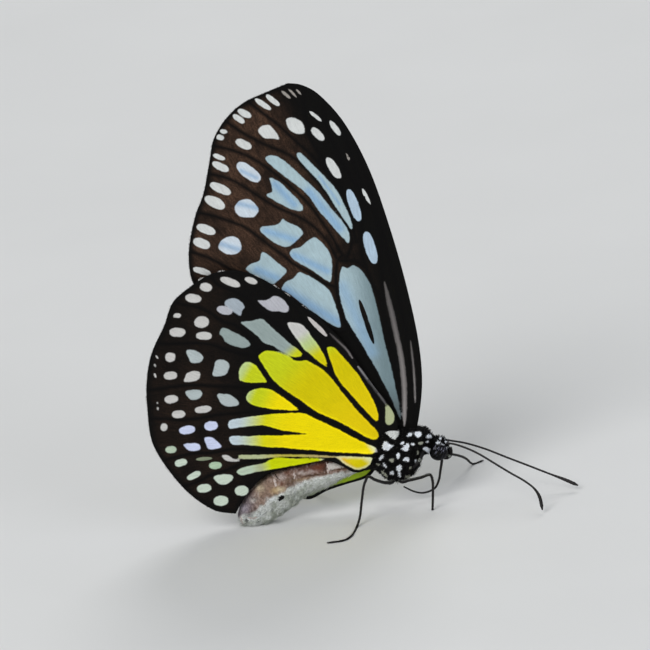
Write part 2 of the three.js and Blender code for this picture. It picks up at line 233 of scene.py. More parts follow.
def wing_scales():
    """Butterfly wing: a thin membrane shingled with flat scales of about 0.1 mm. Where the scales
    lie close it is velvety brown-black with faint lengthwise streaks, and where they are sparse
    it is a pale, faintly glossy window. The edges of the windows are ragged by single scales."""
    material, tree = new_material("wing_scales")
    mark, tint, ray, reach, vein, brown = (
        add(tree, "Attribute", {"attribute_name": name})
        for name in ("mark", "tint", "ray", "reach", "vein", "brown"))
    place = add(tree, "NewGeometry")
    # Streaks follow the scale rows: about 0.15 mm across and 1 mm long.
    rows = add(tree, "CombineXYZ", inputs={0: ray.outputs["Fac"], 1: reach.outputs["Fac"]})
    squeezed = add(tree, "VectorMath", {"operation": "MULTIPLY"}, {0: rows, 1: (6.0, 0.8, 1.0)})
    streak = add(tree, "TexNoise", inputs={
        "Vector": squeezed, "Scale": 1.0, "Detail": 3.0, "Roughness": 0.6})
    grain = add(tree, "TexNoise", inputs={
        "Vector": place, "Scale": FINE / 0.13, "Detail": 2.0, "Roughness": 0.7})
    cloud = add(tree, "TexNoise", inputs={
        "Vector": place, "Scale": FINE / 4.0, "Detail": 3.0, "Roughness": 0.55})
    # Ground between the windows.
    streaked = add(tree, "MapRange", inputs={
        "Value": streak.outputs["Fac"], "From Min": 0.38, "From Max": 0.66, "To Min": 0.3, "To Max": 0.85})
    clouded = add(tree, "MapRange", inputs={
        "Value": cloud.outputs["Fac"], "From Min": 0.35, "From Max": 0.65, "To Min": 0.25})
    rubbed = add(tree, "Math", {"operation": "MULTIPLY"}, {0: streaked, 1: clouded})
    worn = add(tree, "Math", {"operation": "MULTIPLY_ADD"}, {0: clouded, 1: 0.15, 2: rubbed})
    browning = add(tree, "Math", {"operation": "MULTIPLY", "use_clamp": True},
                   {0: worn, 1: brown.outputs["Fac"]})
    ground = add(tree, "Mix", {"data_type": "RGBA"}, {0: browning, 6: rgba("#080706"), 7: rgba("#4d382b")})
    pepper = add(tree, "MapRange", inputs={
        "Value": grain.outputs["Fac"], "From Min": 0.35, "From Max": 0.65, "To Min": 0.6, "To Max": 1.5})
    peppered = add(tree, "VectorMath", {"operation": "SCALE"}, {0: ground.outputs[2], "Scale": pepper})
    near_vein = add(tree, "MapRange", inputs={
        "Value": vein.outputs["Fac"], "From Min": 0.04, "From Max": 0.38, "To Min": 0.92, "To Max": 0.0})
    veined = add(tree, "Mix", {"data_type": "RGBA"}, {0: near_vein, 6: peppered, 7: rgba("#060505")})
    # Windows.
    frosting = add(tree, "Math", {"operation": "MULTIPLY_ADD"}, {0: streak.outputs["Fac"], 1: 0.5, 2: 0.72})
    grained = add(tree, "Math", {"operation": "MULTIPLY_ADD"}, {0: grain.outputs["Fac"], 1: 0.28, 2: -0.1})
    brightness = add(tree, "Math", {"operation": "ADD"}, {0: frosting, 1: grained})
    window = add(tree, "VectorMath", {"operation": "SCALE"},
                 {0: tint.outputs["Color"], "Scale": brightness})
    wavy = add(tree, "TexNoise", inputs={"Vector": place, "Scale": FINE / 0.55, "Detail": 1.0})
    waved = add(tree, "Math", {"operation": "MULTIPLY_ADD"}, {0: wavy.outputs["Fac"], 1: 0.14, 2: -0.15})
    ragged = add(tree, "Math", {"operation": "MULTIPLY_ADD"}, {0: grain.outputs["Fac"], 1: 0.16, 2: waved})
    edge = add(tree, "Math", {"operation": "ADD"}, {0: mark.outputs["Fac"], 1: ragged})
    pale = add(tree, "MapRange", {"interpolation_type": "SMOOTHSTEP"}, {
        "Value": edge, "From Min": -0.08, "From Max": 0.07, "To Min": 1.0, "To Max": 0.0})
    colour = add(tree, "Mix", {"data_type": "RGBA"}, {0: pale, 6: veined.outputs[2], 7: window})
    roughness = add(tree, "MapRange", inputs={"Value": pale, "To Min": 0.72, "To Max": 0.5})
    relief = add(tree, "Math", {"operation": "MULTIPLY_ADD"},
                 {0: grain.outputs["Fac"], 1: 0.4, 2: streak.outputs["Fac"]})
    bump = add(tree, "Bump", inputs={"Strength": 0.35, "Distance": 0.04 * MM, "Height": relief})
    shader = add(tree, "BsdfPrincipled", inputs={
        "Base Color": colour.outputs[2], "Roughness": roughness, "IOR": 1.5,
        "Specular IOR Level": 0.1, "Normal": bump})
    add(tree, "OutputMaterial", inputs={0: shader})
    return material


# ---- Wing pattern ----
# Spots are x and z of one end, x and z of the other, and width. Patches and windows are outlines.

TINTS = {
    "white": "#d6d8d5",
    "chalk": "#cdcbc7",
    "dew": "#cfdccb",
    "lichen": "#b4cbae",
    "shell": "#c8c2be",
    "mist": "#b5bfbf",
    "frost": "#b3c8d9",
    "lilac": "#d1d8f2",
    "pink": "#bbbbc1",
    "dusk": "#a8b2ba",
    "grey": "#98a6a3",
    "dull": "#757373",
    "green": "#b6bd92",
    "milk": "#c4d2d9",
    "glass": "#adc3c9",
    "sky": "#8aafd0",
    "steel": "#788c91",
    "slate": "#5f6b6e",
    "lime": "#ccd61c",
    "celadon": "#c0d38c",
    "chartreuse": "#d2de02",
    "yellow": "#fbe400",
    "cream": "#e4e6b4",
    "straw": "#b9ae4a",
    "sage": "#b4bb90",
    "ochre": "#dccb00",
    "amber": "#eed204",
    "olive": "#a6c22c",
    "moss": "#8b947a",
    "mint": "#bccdb6",
    "fallow": "#b5a56a",
    "ash_grey": "#7d7876",
    "dim": "#6a6564",
    "pearl": "#d0dae2",
    "dusty": "#9c968f",
    "orange": "#e0b11c",
}

FOREWING_ROOT = (19.3, 8.5)
FOREWING_SPOTS = {
    "white": [
        (9.0, 50.1, 10.3, 48.6, 0.58), (7.75, 49.8, 9.3, 48.3, 0.62), (5.7, 48.8, 7.0, 47.8, 0.75),
        (5.1, 48.3, 6.2, 47.2, 0.65), (3.4, 46.65, 4.15, 46.4, 0.5), (2.95, 46.1, 3.7, 45.7, 0.65),
        (2.25, 44.0, 3.5, 43.3, 0.55), (2.1, 43.1, 3.75, 41.9, 0.85), (1.5, 40.7, 3.6, 39.2, 1.0),
        (0.75, 39.2, 2.7, 37.7, 1.2), (-0.6, 36.0, 1.3, 34.9, 1.0), (-1.2, 34.4, 0.5, 33.4, 1.1),
        (-1.7, 31.1, 0.15, 30.2, 0.75), (13.5, 47.5, 14.7, 46.1, 0.35), (13.5, 45.5, 14.6, 43.9, 0.85),
        (15.6, 46.0, 16.5, 44.2, 0.6), (5.0, 45.3, 6.55, 44.15, 0.95), (14.7, 41.8, 15.8, 39.2, 0.95),
        (18.1, 37.7, 18.75, 35.7, 0.3)],
    "frost": [(16.55, 37.8, 17.3, 33.9, 1.02), (17.8, 32.6, 18.35, 28.7, 1.17)],
    "pearl": [(4.8, 42.6, 7.0, 40.2, 1.4)],
    "dusty": [
        (10.75, 50.3, 11.6, 49.3, 0.34), (11.5, 50.5, 12.3, 49.3, 0.2), (12.3, 50.3, 12.9, 49.5, 0.17),
        (16.85, 42.0, 17.2, 40.9, 0.18)],
}
FOREWING_PATCHES = {
    "white": [
        [(7.6, 46.0), (8.1, 46.55), (8.9, 46.5), (9.45, 45.7), (9.75, 44.75), (9.0, 44.95), (8.1, 45.15)],
        [(10.8, 46.8), (11.3, 47.05), (12.0, 46.8), (12.6, 46.1), (12.6, 45.1), (11.8, 45.1), (11.0, 45.7)],
    ],
    "pearl": [
        [(3.85, 37.6), (4.4, 38.2), (5.3, 38.3), (5.9, 37.9), (6.4, 37.0), (6.1, 36.35), (5.5, 36.1),
         (4.4, 36.35), (3.9, 36.9)],
        [(1.45, 33.3), (2.0, 34.0), (3.1, 34.2), (3.8, 33.7), (3.9, 32.6), (3.3, 32.15), (2.3, 32.2),
         (1.6, 32.8)],
    ],
}
# Lines along which the pearly spots turn bluer, where the membrane is folded, with half width.
FOREWING_FOLDS = [(5.1, 41.7, 6.7, 40.6, 0.24), (4.3, 37.9, 6.3, 37.1, 0.32), (1.8, 33.5, 3.6, 32.6, 0.32)]
# Glassy windows: outline, then the line and half width of the bluer band across each.
FOREWING_WINDOWS = {
    "outer_streak": (
        [(11.4, 42.6), (11.9, 42.75), (13.2, 41.0), (14.2, 39.6), (15.2, 38.0), (15.9, 36.0), (16.4, 34.0),
         (16.3, 33.1), (15.8, 34.0), (14.9, 36.0), (14.0, 38.1), (13.0, 39.9), (12.0, 41.4)],
        (13.6, 39.8, 15.4, 36.2, 0.12)),
    "inner_streak": (
        [(7.95, 42.6), (8.4, 43.0), (9.2, 42.8), (10.0, 42.1), (11.0, 40.9), (12.0, 39.6), (13.2, 38.0),
         (14.3, 36.0), (15.5, 34.0), (15.95, 32.6), (15.75, 31.5), (15.3, 32.1), (14.7, 33.0), (12.9, 36.0),
         (11.9, 38.0), (10.0, 40.1), (9.0, 41.2)], (12.2, 38.2, 15.0, 33.4, 0.55)),
    "forked": (
        [(8.1, 40.4), (9.0, 39.9), (9.6, 39.2), (10.2, 38.3), (10.8, 37.5), (11.3, 36.5), (11.1, 36.05),
         (10.2, 36.3), (9.3, 36.9), (8.4, 37.6), (7.55, 38.35), (7.65, 38.6), (8.2, 38.75), (8.2, 39.6)],
        (8.6, 39.6, 10.4, 36.9, 0.45)),
    "upper_pair_outer": (
        [(6.25, 34.5), (6.6, 34.85), (7.6, 34.8), (8.5, 35.0), (8.9, 35.45), (9.4, 34.95), (10.4, 34.3),
         (10.95, 33.5), (10.5, 33.0), (9.7, 32.4), (9.1, 32.1), (8.3, 32.3), (7.4, 33.0), (6.7, 33.8)],
        (6.9, 34.3, 10.0, 32.7, 0.45)),
    "lower_pair_outer": (
        [(4.1, 30.1), (4.6, 30.65), (5.7, 30.95), (6.15, 31.9), (6.9, 31.3), (7.5, 30.6), (8.5, 29.4),
         (8.1, 28.8), (7.4, 28.3), (6.8, 28.0), (6.0, 28.5), (5.0, 29.3)], (5.3, 29.9, 7.3, 28.6, 0.5)),
    "upper_pair_inner": (
        [(9.15, 31.3), (9.5, 31.75), (10.4, 31.85), (11.1, 32.3), (12.1, 32.75), (12.9, 31.9), (13.4, 31.0),
         (13.65, 30.0), (13.5, 28.6), (13.2, 27.35), (12.7, 27.6), (11.8, 28.5), (10.8, 29.4), (9.8, 30.2),
         (9.3, 30.8)], (9.6, 31.0, 13.0, 28.6, 0.45)),
    "lower_pair_inner": (
        [(7.7, 27.3), (8.3, 28.0), (9.2, 28.35), (9.8, 28.9), (10.3, 28.75), (11.2, 28.1), (12.2, 27.2),
         (12.9, 26.3), (13.2, 25.3), (13.45, 24.0), (13.6, 22.8), (13.55, 21.85), (12.9, 22.1), (12.0, 22.9),
         (11.0, 23.9), (10.0, 24.9), (9.0, 26.0), (8.2, 26.8)], (8.2, 27.0, 13.4, 22.4, 0.6)),
}
FOREWING_CELL = [
    (14.7, 28.85), (14.2, 27.5), (14.0, 25.5), (14.3, 23.0), (14.7, 21.8), (15.2, 20.6), (15.8, 19.2),
    (16.3, 17.8), (16.95, 16.2), (17.4, 14.8), (17.85, 13.5), (18.2, 12.2), (18.5, 11.0), (18.78, 10.0),
    (18.86, 11.0), (18.8, 12.5), (18.7, 14.0), (18.57, 16.0), (18.42, 17.5), (18.22, 19.2), (18.0, 22.5),
    (17.85, 23.8), (17.6, 26.0), (17.2, 27.2), (16.7, 28.2), (15.95, 28.85), (15.2, 28.6)]
FOREWING_CELL_BAND = (14.4, 26.5, 16.6, 18.4, 0.75)
FOREWING_CELL_BAR = (16.05, 24.8, 17.0, 19.3, 0.55)

FOREWING_VEINS = {
    "subcosta": [
        (20.3, 9.5), (20.75, 14.0), (20.7, 20.0), (20.3, 26.0), (19.6, 32.0), (18.9, 37.5), (18.0, 42.6)],
    "radius": [
        (19.5, 9.5), (19.25, 14.0), (19.0, 19.0), (18.6, 23.5), (19.0, 28.0), (19.2, 31.5), (18.9, 35.0),
        (17.9, 38.8), (17.3, 42.0), (16.8, 46.0)],
    "radius_2": [
        (18.3, 24.5), (17.4, 28.0), (17.05, 30.5), (17.4, 33.0), (17.85, 35.5), (17.6, 37.8), (16.6, 40.0),
        (15.7, 42.8), (15.1, 45.6), (15.2, 48.6)],
    "radius_4": [
        (16.6, 31.5), (16.35, 33.8), (16.1, 36.2), (15.6, 38.6), (14.5, 41.3), (13.4, 43.6), (13.05, 45.8),
        (12.9, 48.0), (13.3, 50.2)],
    "radius_5": [
        (16.5, 32.8), (16.5, 34.0), (16.05, 36.2), (15.2, 38.8), (14.0, 40.9), (12.8, 42.7), (11.4, 44.4),
        (9.9, 46.4), (8.4, 48.0), (7.4, 49.1), (6.9, 49.7)],
    "media_1": [
        (15.4, 30.0), (16.2, 32.0), (15.4, 35.0), (14.3, 37.4), (13.1, 39.6), (11.7, 41.6), (10.3, 43.0),
        (8.5, 44.1), (7.1, 45.1), (5.6, 46.3), (4.6, 47.3), (4.0, 47.8)],
    "media_2": [
        (14.9, 30.2), (14.0, 32.6), (13.0, 34.8), (11.9, 36.9), (10.4, 38.9), (8.7, 40.9), (7.3, 42.3),
        (5.9, 43.4), (4.3, 44.3), (2.9, 44.9), (2.3, 45.1)],
    "media_3": [
        (14.2, 30.0), (13.6, 31.8), (12.4, 33.8), (10.6, 35.5), (8.7, 36.7), (7.0, 38.1), (5.6, 39.4),
        (4.2, 40.6), (2.8, 41.4), (1.4, 41.9)],
    "cubitus_1": [
        (13.75, 26.6), (12.5, 27.3), (11.5, 28.3), (10.3, 29.3), (9.2, 30.2), (8.4, 31.2), (7.2, 32.4),
        (5.9, 33.8), (4.6, 35.1), (3.1, 36.0), (1.4, 36.9), (-0.4, 37.6)],
    "cubitus_2": [
        (14.3, 21.4), (13.0, 21.5), (11.6, 22.8), (9.9, 24.5), (8.2, 26.2), (7.1, 27.3), (5.8, 28.2),
        (4.2, 29.2), (2.7, 30.2), (1.2, 31.4), (-0.3, 32.4), (-1.8, 33.2)],
    "anal": [(18.2, 9.4), (14.5, 13.8), (9.0, 20.3), (4.0, 25.8), (-1.3, 29.4)],
    "cell_lower": [
        (19.1, 9.5), (18.3, 11.6), (17.4, 14.2), (16.4, 17.2), (15.2, 20.0), (14.2, 22.3), (13.8, 24.5),
        (13.75, 26.6), (13.95, 28.4), (14.3, 29.7), (14.9, 30.2)],
    "cell_end": [(14.3, 29.7), (15.2, 29.5), (16.3, 29.3), (17.3, 28.3)],
    "cell_upper": [(19.35, 9.8), (19.2, 12.0), (19.0, 16.0), (18.6, 20.0), (18.3, 24.0)],
}

# Thin pale streaks with soft sides: middle line, half width and tint.
FOREWING_STREAKS = [
    ([(19.1, 26.4), (19.35, 23.5), (19.62, 20.0), (19.8, 17.0), (19.65, 13.5), (19.1, 9.2)], 0.26, "ash_grey"),
    ([(21.08, 19.1), (20.98, 15.5), (20.65, 11.8)], 0.09, "ash_grey"),
]
# On the hindwing these streaks run just inside its front edge, and are a painted highlight along that edge.
HINDWING_EDGE_HIGHLIGHTS = [
    ([(17.42, 12.25), (17.0, 13.15), (16.43, 14.32), (15.8, 15.5), (14.9, 17.2)], 0.12, "dull"),
    ([(12.3, 21.6), (13.1, 20.5), (13.9, 19.4), (14.4, 18.3)], 0.09, "dim"),
]

HINDWING_ROOT = (16.3, 8.3)
HINDWING_SPOTS = {
    "chalk": [
        (-1.2, 29.25, 0.05, 28.75, 1.0), (1.15, 29.8, 3.2, 28.6, 0.85), (3.85, 29.4, 5.1, 28.65, 0.7),
        (-3.0, 28.15, -1.3, 27.65, 1.0), (-4.6, 26.2, -3.75, 26.1, 0.55), (-5.3, 24.35, -3.55, 24.05, 1.05),
        (-2.4, 25.0, -0.8, 25.0, 1.35), (-2.4, 23.5, -0.7, 23.2, 0.95), (-6.15, 21.5, -5.05, 21.3, 1.1),
        (-6.6, 19.3, -5.15, 19.2, 0.95), (-6.9, 16.5, -5.4, 16.45, 0.95), (-6.35, 14.65, -4.85, 14.5, 0.9),
        (-3.75, 14.75, -1.9, 14.75, 0.85), (-7.8, 13.3, -7.0, 13.3, 0.9), (-7.15, 21.9, -6.95, 21.4, 0.18),
        (-7.5, 20.9, -7.35, 20.5, 0.22), (-7.6, 19.8, -7.5, 19.2, 0.2), (-7.75, 16.4, -7.75, 16.1, 0.15),
        (-7.8, 15.8, -7.75, 15.4, 0.22), (15.4, 7.35, 15.72, 6.98, 0.24)],
    "dew": [
        (-6.8, 8.75, -5.4, 8.95, 0.85), (-5.65, 6.85, -4.1, 7.4, 0.75), (-4.75, 5.45, -3.15, 5.45, 1.0),
        (-0.6, 4.65, 0.9, 4.45, 1.2), (-3.1, 3.75, -1.5, 3.65, 1.2)],
    "moss": [(-4.4, 9.0, -2.6, 8.85, 0.4)],
    "lichen": [(-3.05, 8.0, -1.65, 7.9, 0.85)],
    "pink": [(0.3, 26.35, 1.9, 25.65, 0.95)],
    "shell": [(10.15, 23.85, 11.95, 21.25, 0.45)],
    "lilac": [(-5.8, 12.6, -4.0, 12.6, 1.0), (-2.95, 12.7, -1.45, 12.65, 1.1)],
    "mint": [(-7.6, 10.6, -6.4, 10.5, 0.85)],
}
HINDWING_PATCHES = {
    "mist": [
        [(-3.7, 21.9), (-2.9, 21.85), (-2.2, 21.3), (-2.0, 20.8), (-2.4, 20.35), (-3.3, 20.4), (-3.6, 21.1)],
        [(-4.5, 17.1), (-3.6, 17.2), (-2.8, 17.0), (-2.7, 16.5), (-3.1, 16.1), (-4.0, 16.1)],
        [(-1.2, 18.5), (-1.0, 19.3), (-0.6, 20.2), (0.1, 20.25), (0.75, 19.7), (0.5, 18.8), (0.0, 18.4)],
        [(-1.0, 16.25), (-0.3, 16.2), (0.4, 16.0), (0.9, 15.5), (1.25, 15.0), (1.0, 14.65), (0.1, 14.65),
         (-0.6, 15.0), (-0.9, 15.5)],
    ],
    "chalk": [
        [(-4.4, 18.3), (-4.3, 18.8), (-3.9, 19.3), (-3.1, 19.4), (-2.6, 19.1), (-2.7, 18.5), (-3.3, 18.2)],
        [(-1.5, 9.0), (-0.9, 9.0), (-0.3, 8.5), (0.4, 8.15), (-0.3, 8.1), (-1.1, 8.4)],
    ],
    "dew": [[(-2.75, 6.55), (-2.2, 6.8), (-1.2, 6.7), (-0.6, 6.4), (-0.8, 5.9), (-1.6, 5.55), (-2.3, 5.8)]],
    "dusk": [
        [(1.2, 26.9), (2.1, 27.3), (2.9, 26.9), (3.35, 26.1), (3.0, 25.6), (2.75, 25.05), (2.2, 25.55),
         (1.6, 26.2)],
    ],
    "pink": [
        [(4.95, 26.6), (5.8, 26.5), (6.8, 26.85), (7.6, 26.4), (8.1, 25.6), (8.2, 25.1), (7.8, 24.75),
         (7.0, 25.0), (6.3, 25.1), (5.7, 25.5), (5.2, 26.1)],
    ],
    "lilac": [
        [(-5.5, 10.95), (-4.5, 10.95), (-3.8, 10.7), (-3.8, 10.1), (-4.5, 10.0), (-5.1, 10.2)],
        [(-3.1, 11.4), (-2.3, 11.3), (-1.8, 10.8), (-1.4, 10.2), (-1.6, 9.95), (-2.7, 9.95), (-3.0, 10.4)],
    ],
    "grey": [
        [(0.2, 23.4), (0.6, 24.0), (1.2, 23.7), (2.2, 23.0), (3.0, 22.3), (3.4, 21.65), (3.0, 21.3),
         (2.2, 21.4), (1.2, 21.9), (0.7, 22.3), (0.5, 22.9)],
    ],
    "green": [
        [(17.1, 10.2), (17.18, 11.2), (17.28, 11.95), (17.45, 12.3), (17.75, 11.95), (18.02, 11.5),
         (18.13, 10.9), (18.0, 10.2), (17.6, 9.85), (17.3, 9.9)],
    ],
}
# Windows that change colour towards the root: outline, first tint, and each change as the distance
# from the root where it begins, the one where it is full, and the next tint.
HINDWING_YELLOWS = {
    "space_6": (
        [(2.7, 24.3), (3.9, 24.3), (5.0, 24.4), (5.6, 23.8), (6.2, 23.0), (7.0, 22.0), (7.8, 21.0), (8.7, 20.1),
         (8.9, 19.5), (8.4, 19.35), (7.6, 19.6), (6.6, 20.4), (5.8, 21.1), (5.0, 21.5), (4.4, 22.3),
         (3.6, 23.3)], "grey", (15.4, 13.9, "rich")),
    "space_7": (
        [(7.8, 23.4), (8.5, 23.4), (9.3, 23.1), (9.9, 22.3), (10.3, 21.4), (10.8, 20.5), (11.2, 19.5),
         (11.5, 18.4), (11.5, 17.75), (11.0, 18.1), (10.3, 18.9), (9.7, 19.6), (9.2, 20.2), (8.8, 21.1),
         (8.2, 22.2)], "chalk", (15.7, 13.9, "celadon"), (14.0, 12.3, "rich")),
    "space_8": (
        [(11.8, 19.9), (12.5, 19.9), (13.0, 19.2), (13.6, 18.3), (14.2, 17.3), (14.8, 16.3), (15.2, 15.3),
         (15.6, 14.3), (16.0, 13.2), (16.3, 12.0), (16.37, 11.2), (16.25, 10.6), (15.88, 10.7), (15.4, 11.38),
         (14.76, 12.38), (14.02, 13.55), (13.3, 14.7), (12.7, 15.7), (12.3, 16.7), (12.1, 17.7), (11.9, 18.8)],
        "lime", (12.9, 11.2, "rich")),
    "cell": (
        [(4.1, 20.0), (4.5, 20.4), (5.1, 20.6), (6.0, 20.35), (6.7, 20.0), (7.4, 19.5), (8.0, 19.0),
         (8.6, 18.8), (9.3, 18.8), (10.0, 18.3), (10.8, 17.6), (11.4, 16.9), (12.2, 15.6), (12.8, 14.4),
         (13.5, 13.2), (13.96, 12.36), (14.74, 11.22), (15.42, 10.22), (15.93, 9.46), (16.1, 8.8), (15.8, 8.4),
         (15.3, 8.5), (14.5, 9.0), (13.4, 9.9), (12.3, 10.8), (11.0, 11.7), (9.8, 12.5), (8.8, 13.4),
         (8.1, 14.2), (7.3, 14.9), (6.3, 15.9), (5.4, 17.0), (4.9, 18.0), (4.4, 19.2)], "lime",
        (16.3, 11.6, "rich")),
    "space_4": (
        [(1.65, 17.6), (1.7, 18.3), (1.9, 19.0), (2.4, 19.5), (2.9, 19.55), (3.5, 19.2), (3.9, 18.6),
         (4.3, 17.7), (4.6, 16.95), (3.9, 16.95), (2.6, 17.15), (1.9, 17.4)], "celadon", (17.7, 16.6, "rich")),
    "space_3": (
        [(2.1, 15.4), (2.5, 16.0), (3.2, 16.25), (4.2, 16.25), (5.0, 15.9), (5.8, 15.2), (6.6, 14.4),
         (7.3, 13.6), (7.65, 13.2), (7.2, 13.15), (6.2, 13.35), (5.0, 13.6), (3.8, 14.0), (2.9, 14.35),
         (2.3, 14.85)], "celadon", (16.0, 14.9, "lime"), (14.7, 12.2, "yellow")),
    "space_2": (
        [(-0.2, 12.8), (0.2, 13.05), (1.5, 13.1), (3.0, 13.1), (5.0, 13.05), (7.0, 12.85), (8.1, 12.65),
         (9.0, 12.1), (10.0, 11.4), (11.0, 10.7), (12.0, 10.0), (13.0, 9.2), (14.0, 8.5), (14.9, 7.85),
         (15.3, 7.62), (15.6, 7.38), (15.45, 7.05), (15.05, 6.9), (14.5, 6.95), (13.0, 7.18), (11.0, 7.58),
         (10.0, 7.83), (8.5, 8.2), (7.0, 8.52), (5.0, 9.05), (4.0, 9.2), (2.5, 9.6), (1.0, 9.95), (0.0, 10.1),
         (-0.4, 10.6), (-0.3, 11.05), (0.4, 11.1), (2.0, 10.8), (3.5, 10.68), (5.0, 10.45), (6.5, 10.28),
         (8.2, 10.15), (6.8, 10.6), (5.5, 11.0), (4.5, 11.5), (3.5, 11.9), (2.5, 12.0), (1.0, 12.05),
         (0.0, 12.0), (-0.3, 12.3)], "milk", (16.3, 12.9, "rich"), (1.9, 1.2, "cream")),
    "anal_streak": (
        [(0.45, 8.78), (1.5, 8.62), (3.0, 8.45), (4.0, 8.32), (5.0, 8.18), (6.5, 7.95), (8.0, 7.7), (9.0, 7.5),
         (10.0, 7.3), (11.1, 7.05), (10.9, 6.92), (10.0, 7.08), (9.0, 7.26), (8.0, 7.46), (7.0, 7.62),
         (6.0, 7.79), (5.0, 7.93), (4.0, 7.97), (3.0, 8.02), (1.5, 8.15), (0.4, 8.38)], "sage",
        (13.8, 11.3, "straw"), (9.8, 7.3, "fallow")),
    "space_1": (
        [(-0.1, 6.85), (0.3, 7.15), (1.0, 7.3), (2.0, 7.36), (3.0, 7.45), (3.6, 7.65), (4.4, 7.87), (5.0, 7.8),
         (5.7, 7.62), (6.5, 7.44), (7.5, 7.34), (8.5, 7.23), (9.2, 7.05), (9.8, 6.93), (9.2, 6.76), (8.5, 6.7),
         (7.0, 6.66), (5.0, 6.6), (3.3, 6.54), (2.0, 6.5), (1.0, 6.42), (0.3, 6.42)], "mint",
        (15.1, 13.7, "sage"), (13.9, 12.5, "chartreuse"), (7.4, 6.8, "cream")),
    "inner_lobe": (
        [(10.9, 7.05), (11.6, 6.99), (12.5, 6.87), (13.5, 6.74), (14.4, 6.63), (15.0, 6.5), (15.08, 6.2),
         (14.8, 5.8), (14.3, 5.5), (13.6, 5.3), (13.0, 5.4), (12.5, 5.75), (12.0, 6.1), (11.5, 6.55)],
        "orange", (4.9, 3.9, "ochre"), (3.2, 2.4, "cream")),
}
# The far hindwing shows as a strip under the abdomen. Its lobe is all one window. Its dull moss and olive tints
# are partly painted shade from the abdomen above it and painted green reflection.
FAR_STRIP = (
    [(6.3, 2.5), (7.2, 2.05), (8.2, 2.3), (9.3, 2.65), (10.4, 2.85), (11.5, 3.0), (12.8, 3.2), (13.9, 3.45),
     (14.8, 4.2), (15.5, 5.1), (15.9, 6.0), (15.5, 6.5), (13.5, 6.74), (11.6, 6.9), (10.6, 6.5), (9.6, 5.6),
     (8.0, 4.3), (6.6, 3.3)], "moss", (9.0, 7.0, "olive"), (4.6, 2.8, "chartreuse"))

# Middle lines of narrow windows, where the mesh has rows of points too.
HINDWING_FINE_LINES = [
    [(0.4, 8.56), (3.0, 8.24), (5.0, 8.05), (8.0, 7.58), (10.0, 7.19), (11.1, 6.98)],
    [(-0.2, 6.7), (2.0, 6.52), (5.0, 6.62), (8.0, 6.7), (9.8, 6.9)],
    [(8.2, 10.15), (5.0, 10.9), (3.5, 11.3), (1.0, 11.6)],
]

HINDWING_VEINS = {
    "subcosta": [
        (17.0, 9.3), (16.75, 11.6), (15.9, 14.4), (14.6, 17.0), (13.1, 19.6), (12.3, 21.4), (11.0, 23.8),
        (9.0, 25.8)],
    "radius": [
        (15.9, 9.6), (14.9, 11.1), (14.0, 12.6), (13.1, 14.1), (12.4, 15.4), (11.8, 16.6), (11.75, 18.2),
        (11.4, 19.8), (10.7, 21.4), (9.9, 23.0), (9.0, 24.6), (8.4, 25.9), (7.0, 27.4), (6.0, 28.4)],
    "media_1": [
        (9.3, 19.1), (8.7, 20.4), (7.7, 22.1), (6.7, 23.4), (5.7, 24.6), (4.6, 25.6), (3.8, 27.0), (2.4, 28.1),
        (0.7, 29.2), (0.2, 30.2)],
    "media_2": [
        (4.0, 20.8), (3.8, 21.9), (2.9, 23.2), (1.9, 24.2), (0.6, 24.8), (-0.7, 26.1), (-2.0, 26.9),
        (-3.4, 27.4), (-4.3, 27.8)],
    "media_3": [
        (4.1, 19.8), (3.3, 20.4), (2.0, 20.8), (0.6, 21.4), (-0.8, 22.2), (-2.2, 22.6), (-3.9, 22.8),
        (-5.4, 23.0), (-6.9, 23.3)],
    "cubitus_1": [
        (4.9, 16.7), (3.6, 16.6), (2.0, 16.7), (0.5, 17.0), (-1.2, 17.3), (-3.0, 17.7), (-5.0, 17.9),
        (-7.0, 17.9), (-8.7, 17.9)],
    "cubitus_2": [
        (8.1, 13.0), (6.5, 13.15), (4.5, 13.4), (2.5, 13.7), (0.5, 13.8), (-1.5, 13.9), (-3.5, 13.8),
        (-5.5, 13.9), (-7.2, 14.3), (-8.9, 14.6)],
    "anal_1": [
        (15.5, 6.95), (12.0, 7.35), (8.0, 8.15), (4.0, 8.95), (0.0, 9.6), (-2.5, 9.55), (-4.7, 9.75),
        (-7.7, 9.5)],
    "anal_2": [
        (15.2, 6.75), (10.0, 7.15), (7.5, 7.55), (5.0, 7.95), (3.0, 7.95), (1.0, 7.85), (-1.0, 7.3),
        (-3.0, 6.95), (-4.4, 6.4), (-6.2, 6.1)],
    "cell_lower": [
        (15.7, 8.1), (14.5, 8.8), (13.0, 9.75), (11.5, 10.95), (10.0, 12.0), (9.0, 12.65), (8.2, 13.4),
        (7.4, 14.3), (6.4, 15.4), (5.5, 16.35), (4.9, 17.1), (4.35, 18.4), (3.9, 20.0), (4.0, 20.8)],
    "cell_end": [
        (11.7, 17.3), (10.6, 18.35), (9.3, 19.1), (8.3, 19.2), (7.2, 20.1), (6.0, 20.75), (4.8, 20.95),
        (4.0, 20.8)],
}


# A spot's outline is a little fuller than an oval, whose power is 2.
SPOT_FULLNESS = 2.3


def spot_distance(places, x1, z1, x2, z2, width):
    """Signed distance to the edge of a rounded spot between two ends, in mm."""
    middle = np.array([(x1 + x2) / 2, (z1 + z2) / 2])
    way = np.array([x2 - x1, z2 - z1])
    length = np.linalg.norm(way)
    way /= length
    off = places - middle
    u = off @ way
    v = off @ np.array([-way[1], way[0]])
    across, over = np.abs(2 * u / length), np.abs(2 * v / width)
    k = (across ** SPOT_FULLNESS + over ** SPOT_FULLNESS) ** (1 / SPOT_FULLNESS)
    return np.hypot(u, v) * (1 - 1 / np.maximum(k, 0.05))


def patch_distance(places, outline):
    """Signed distance to the edge of a smooth closed patch, in mm, for the places that are close to it."""
    edge = smooth_line(outline, 4, closed=True)
    found = np.full(len(places), FAR)
    close = np.all((places > edge.min(0) - 1) & (places < edge.max(0) + 1), 1)
    if close.any():
        off, _ = distance_to_line(places[close], ring_of(edge))
        found[close] = np.where(inside(places[close], edge), -off, off)
    return found


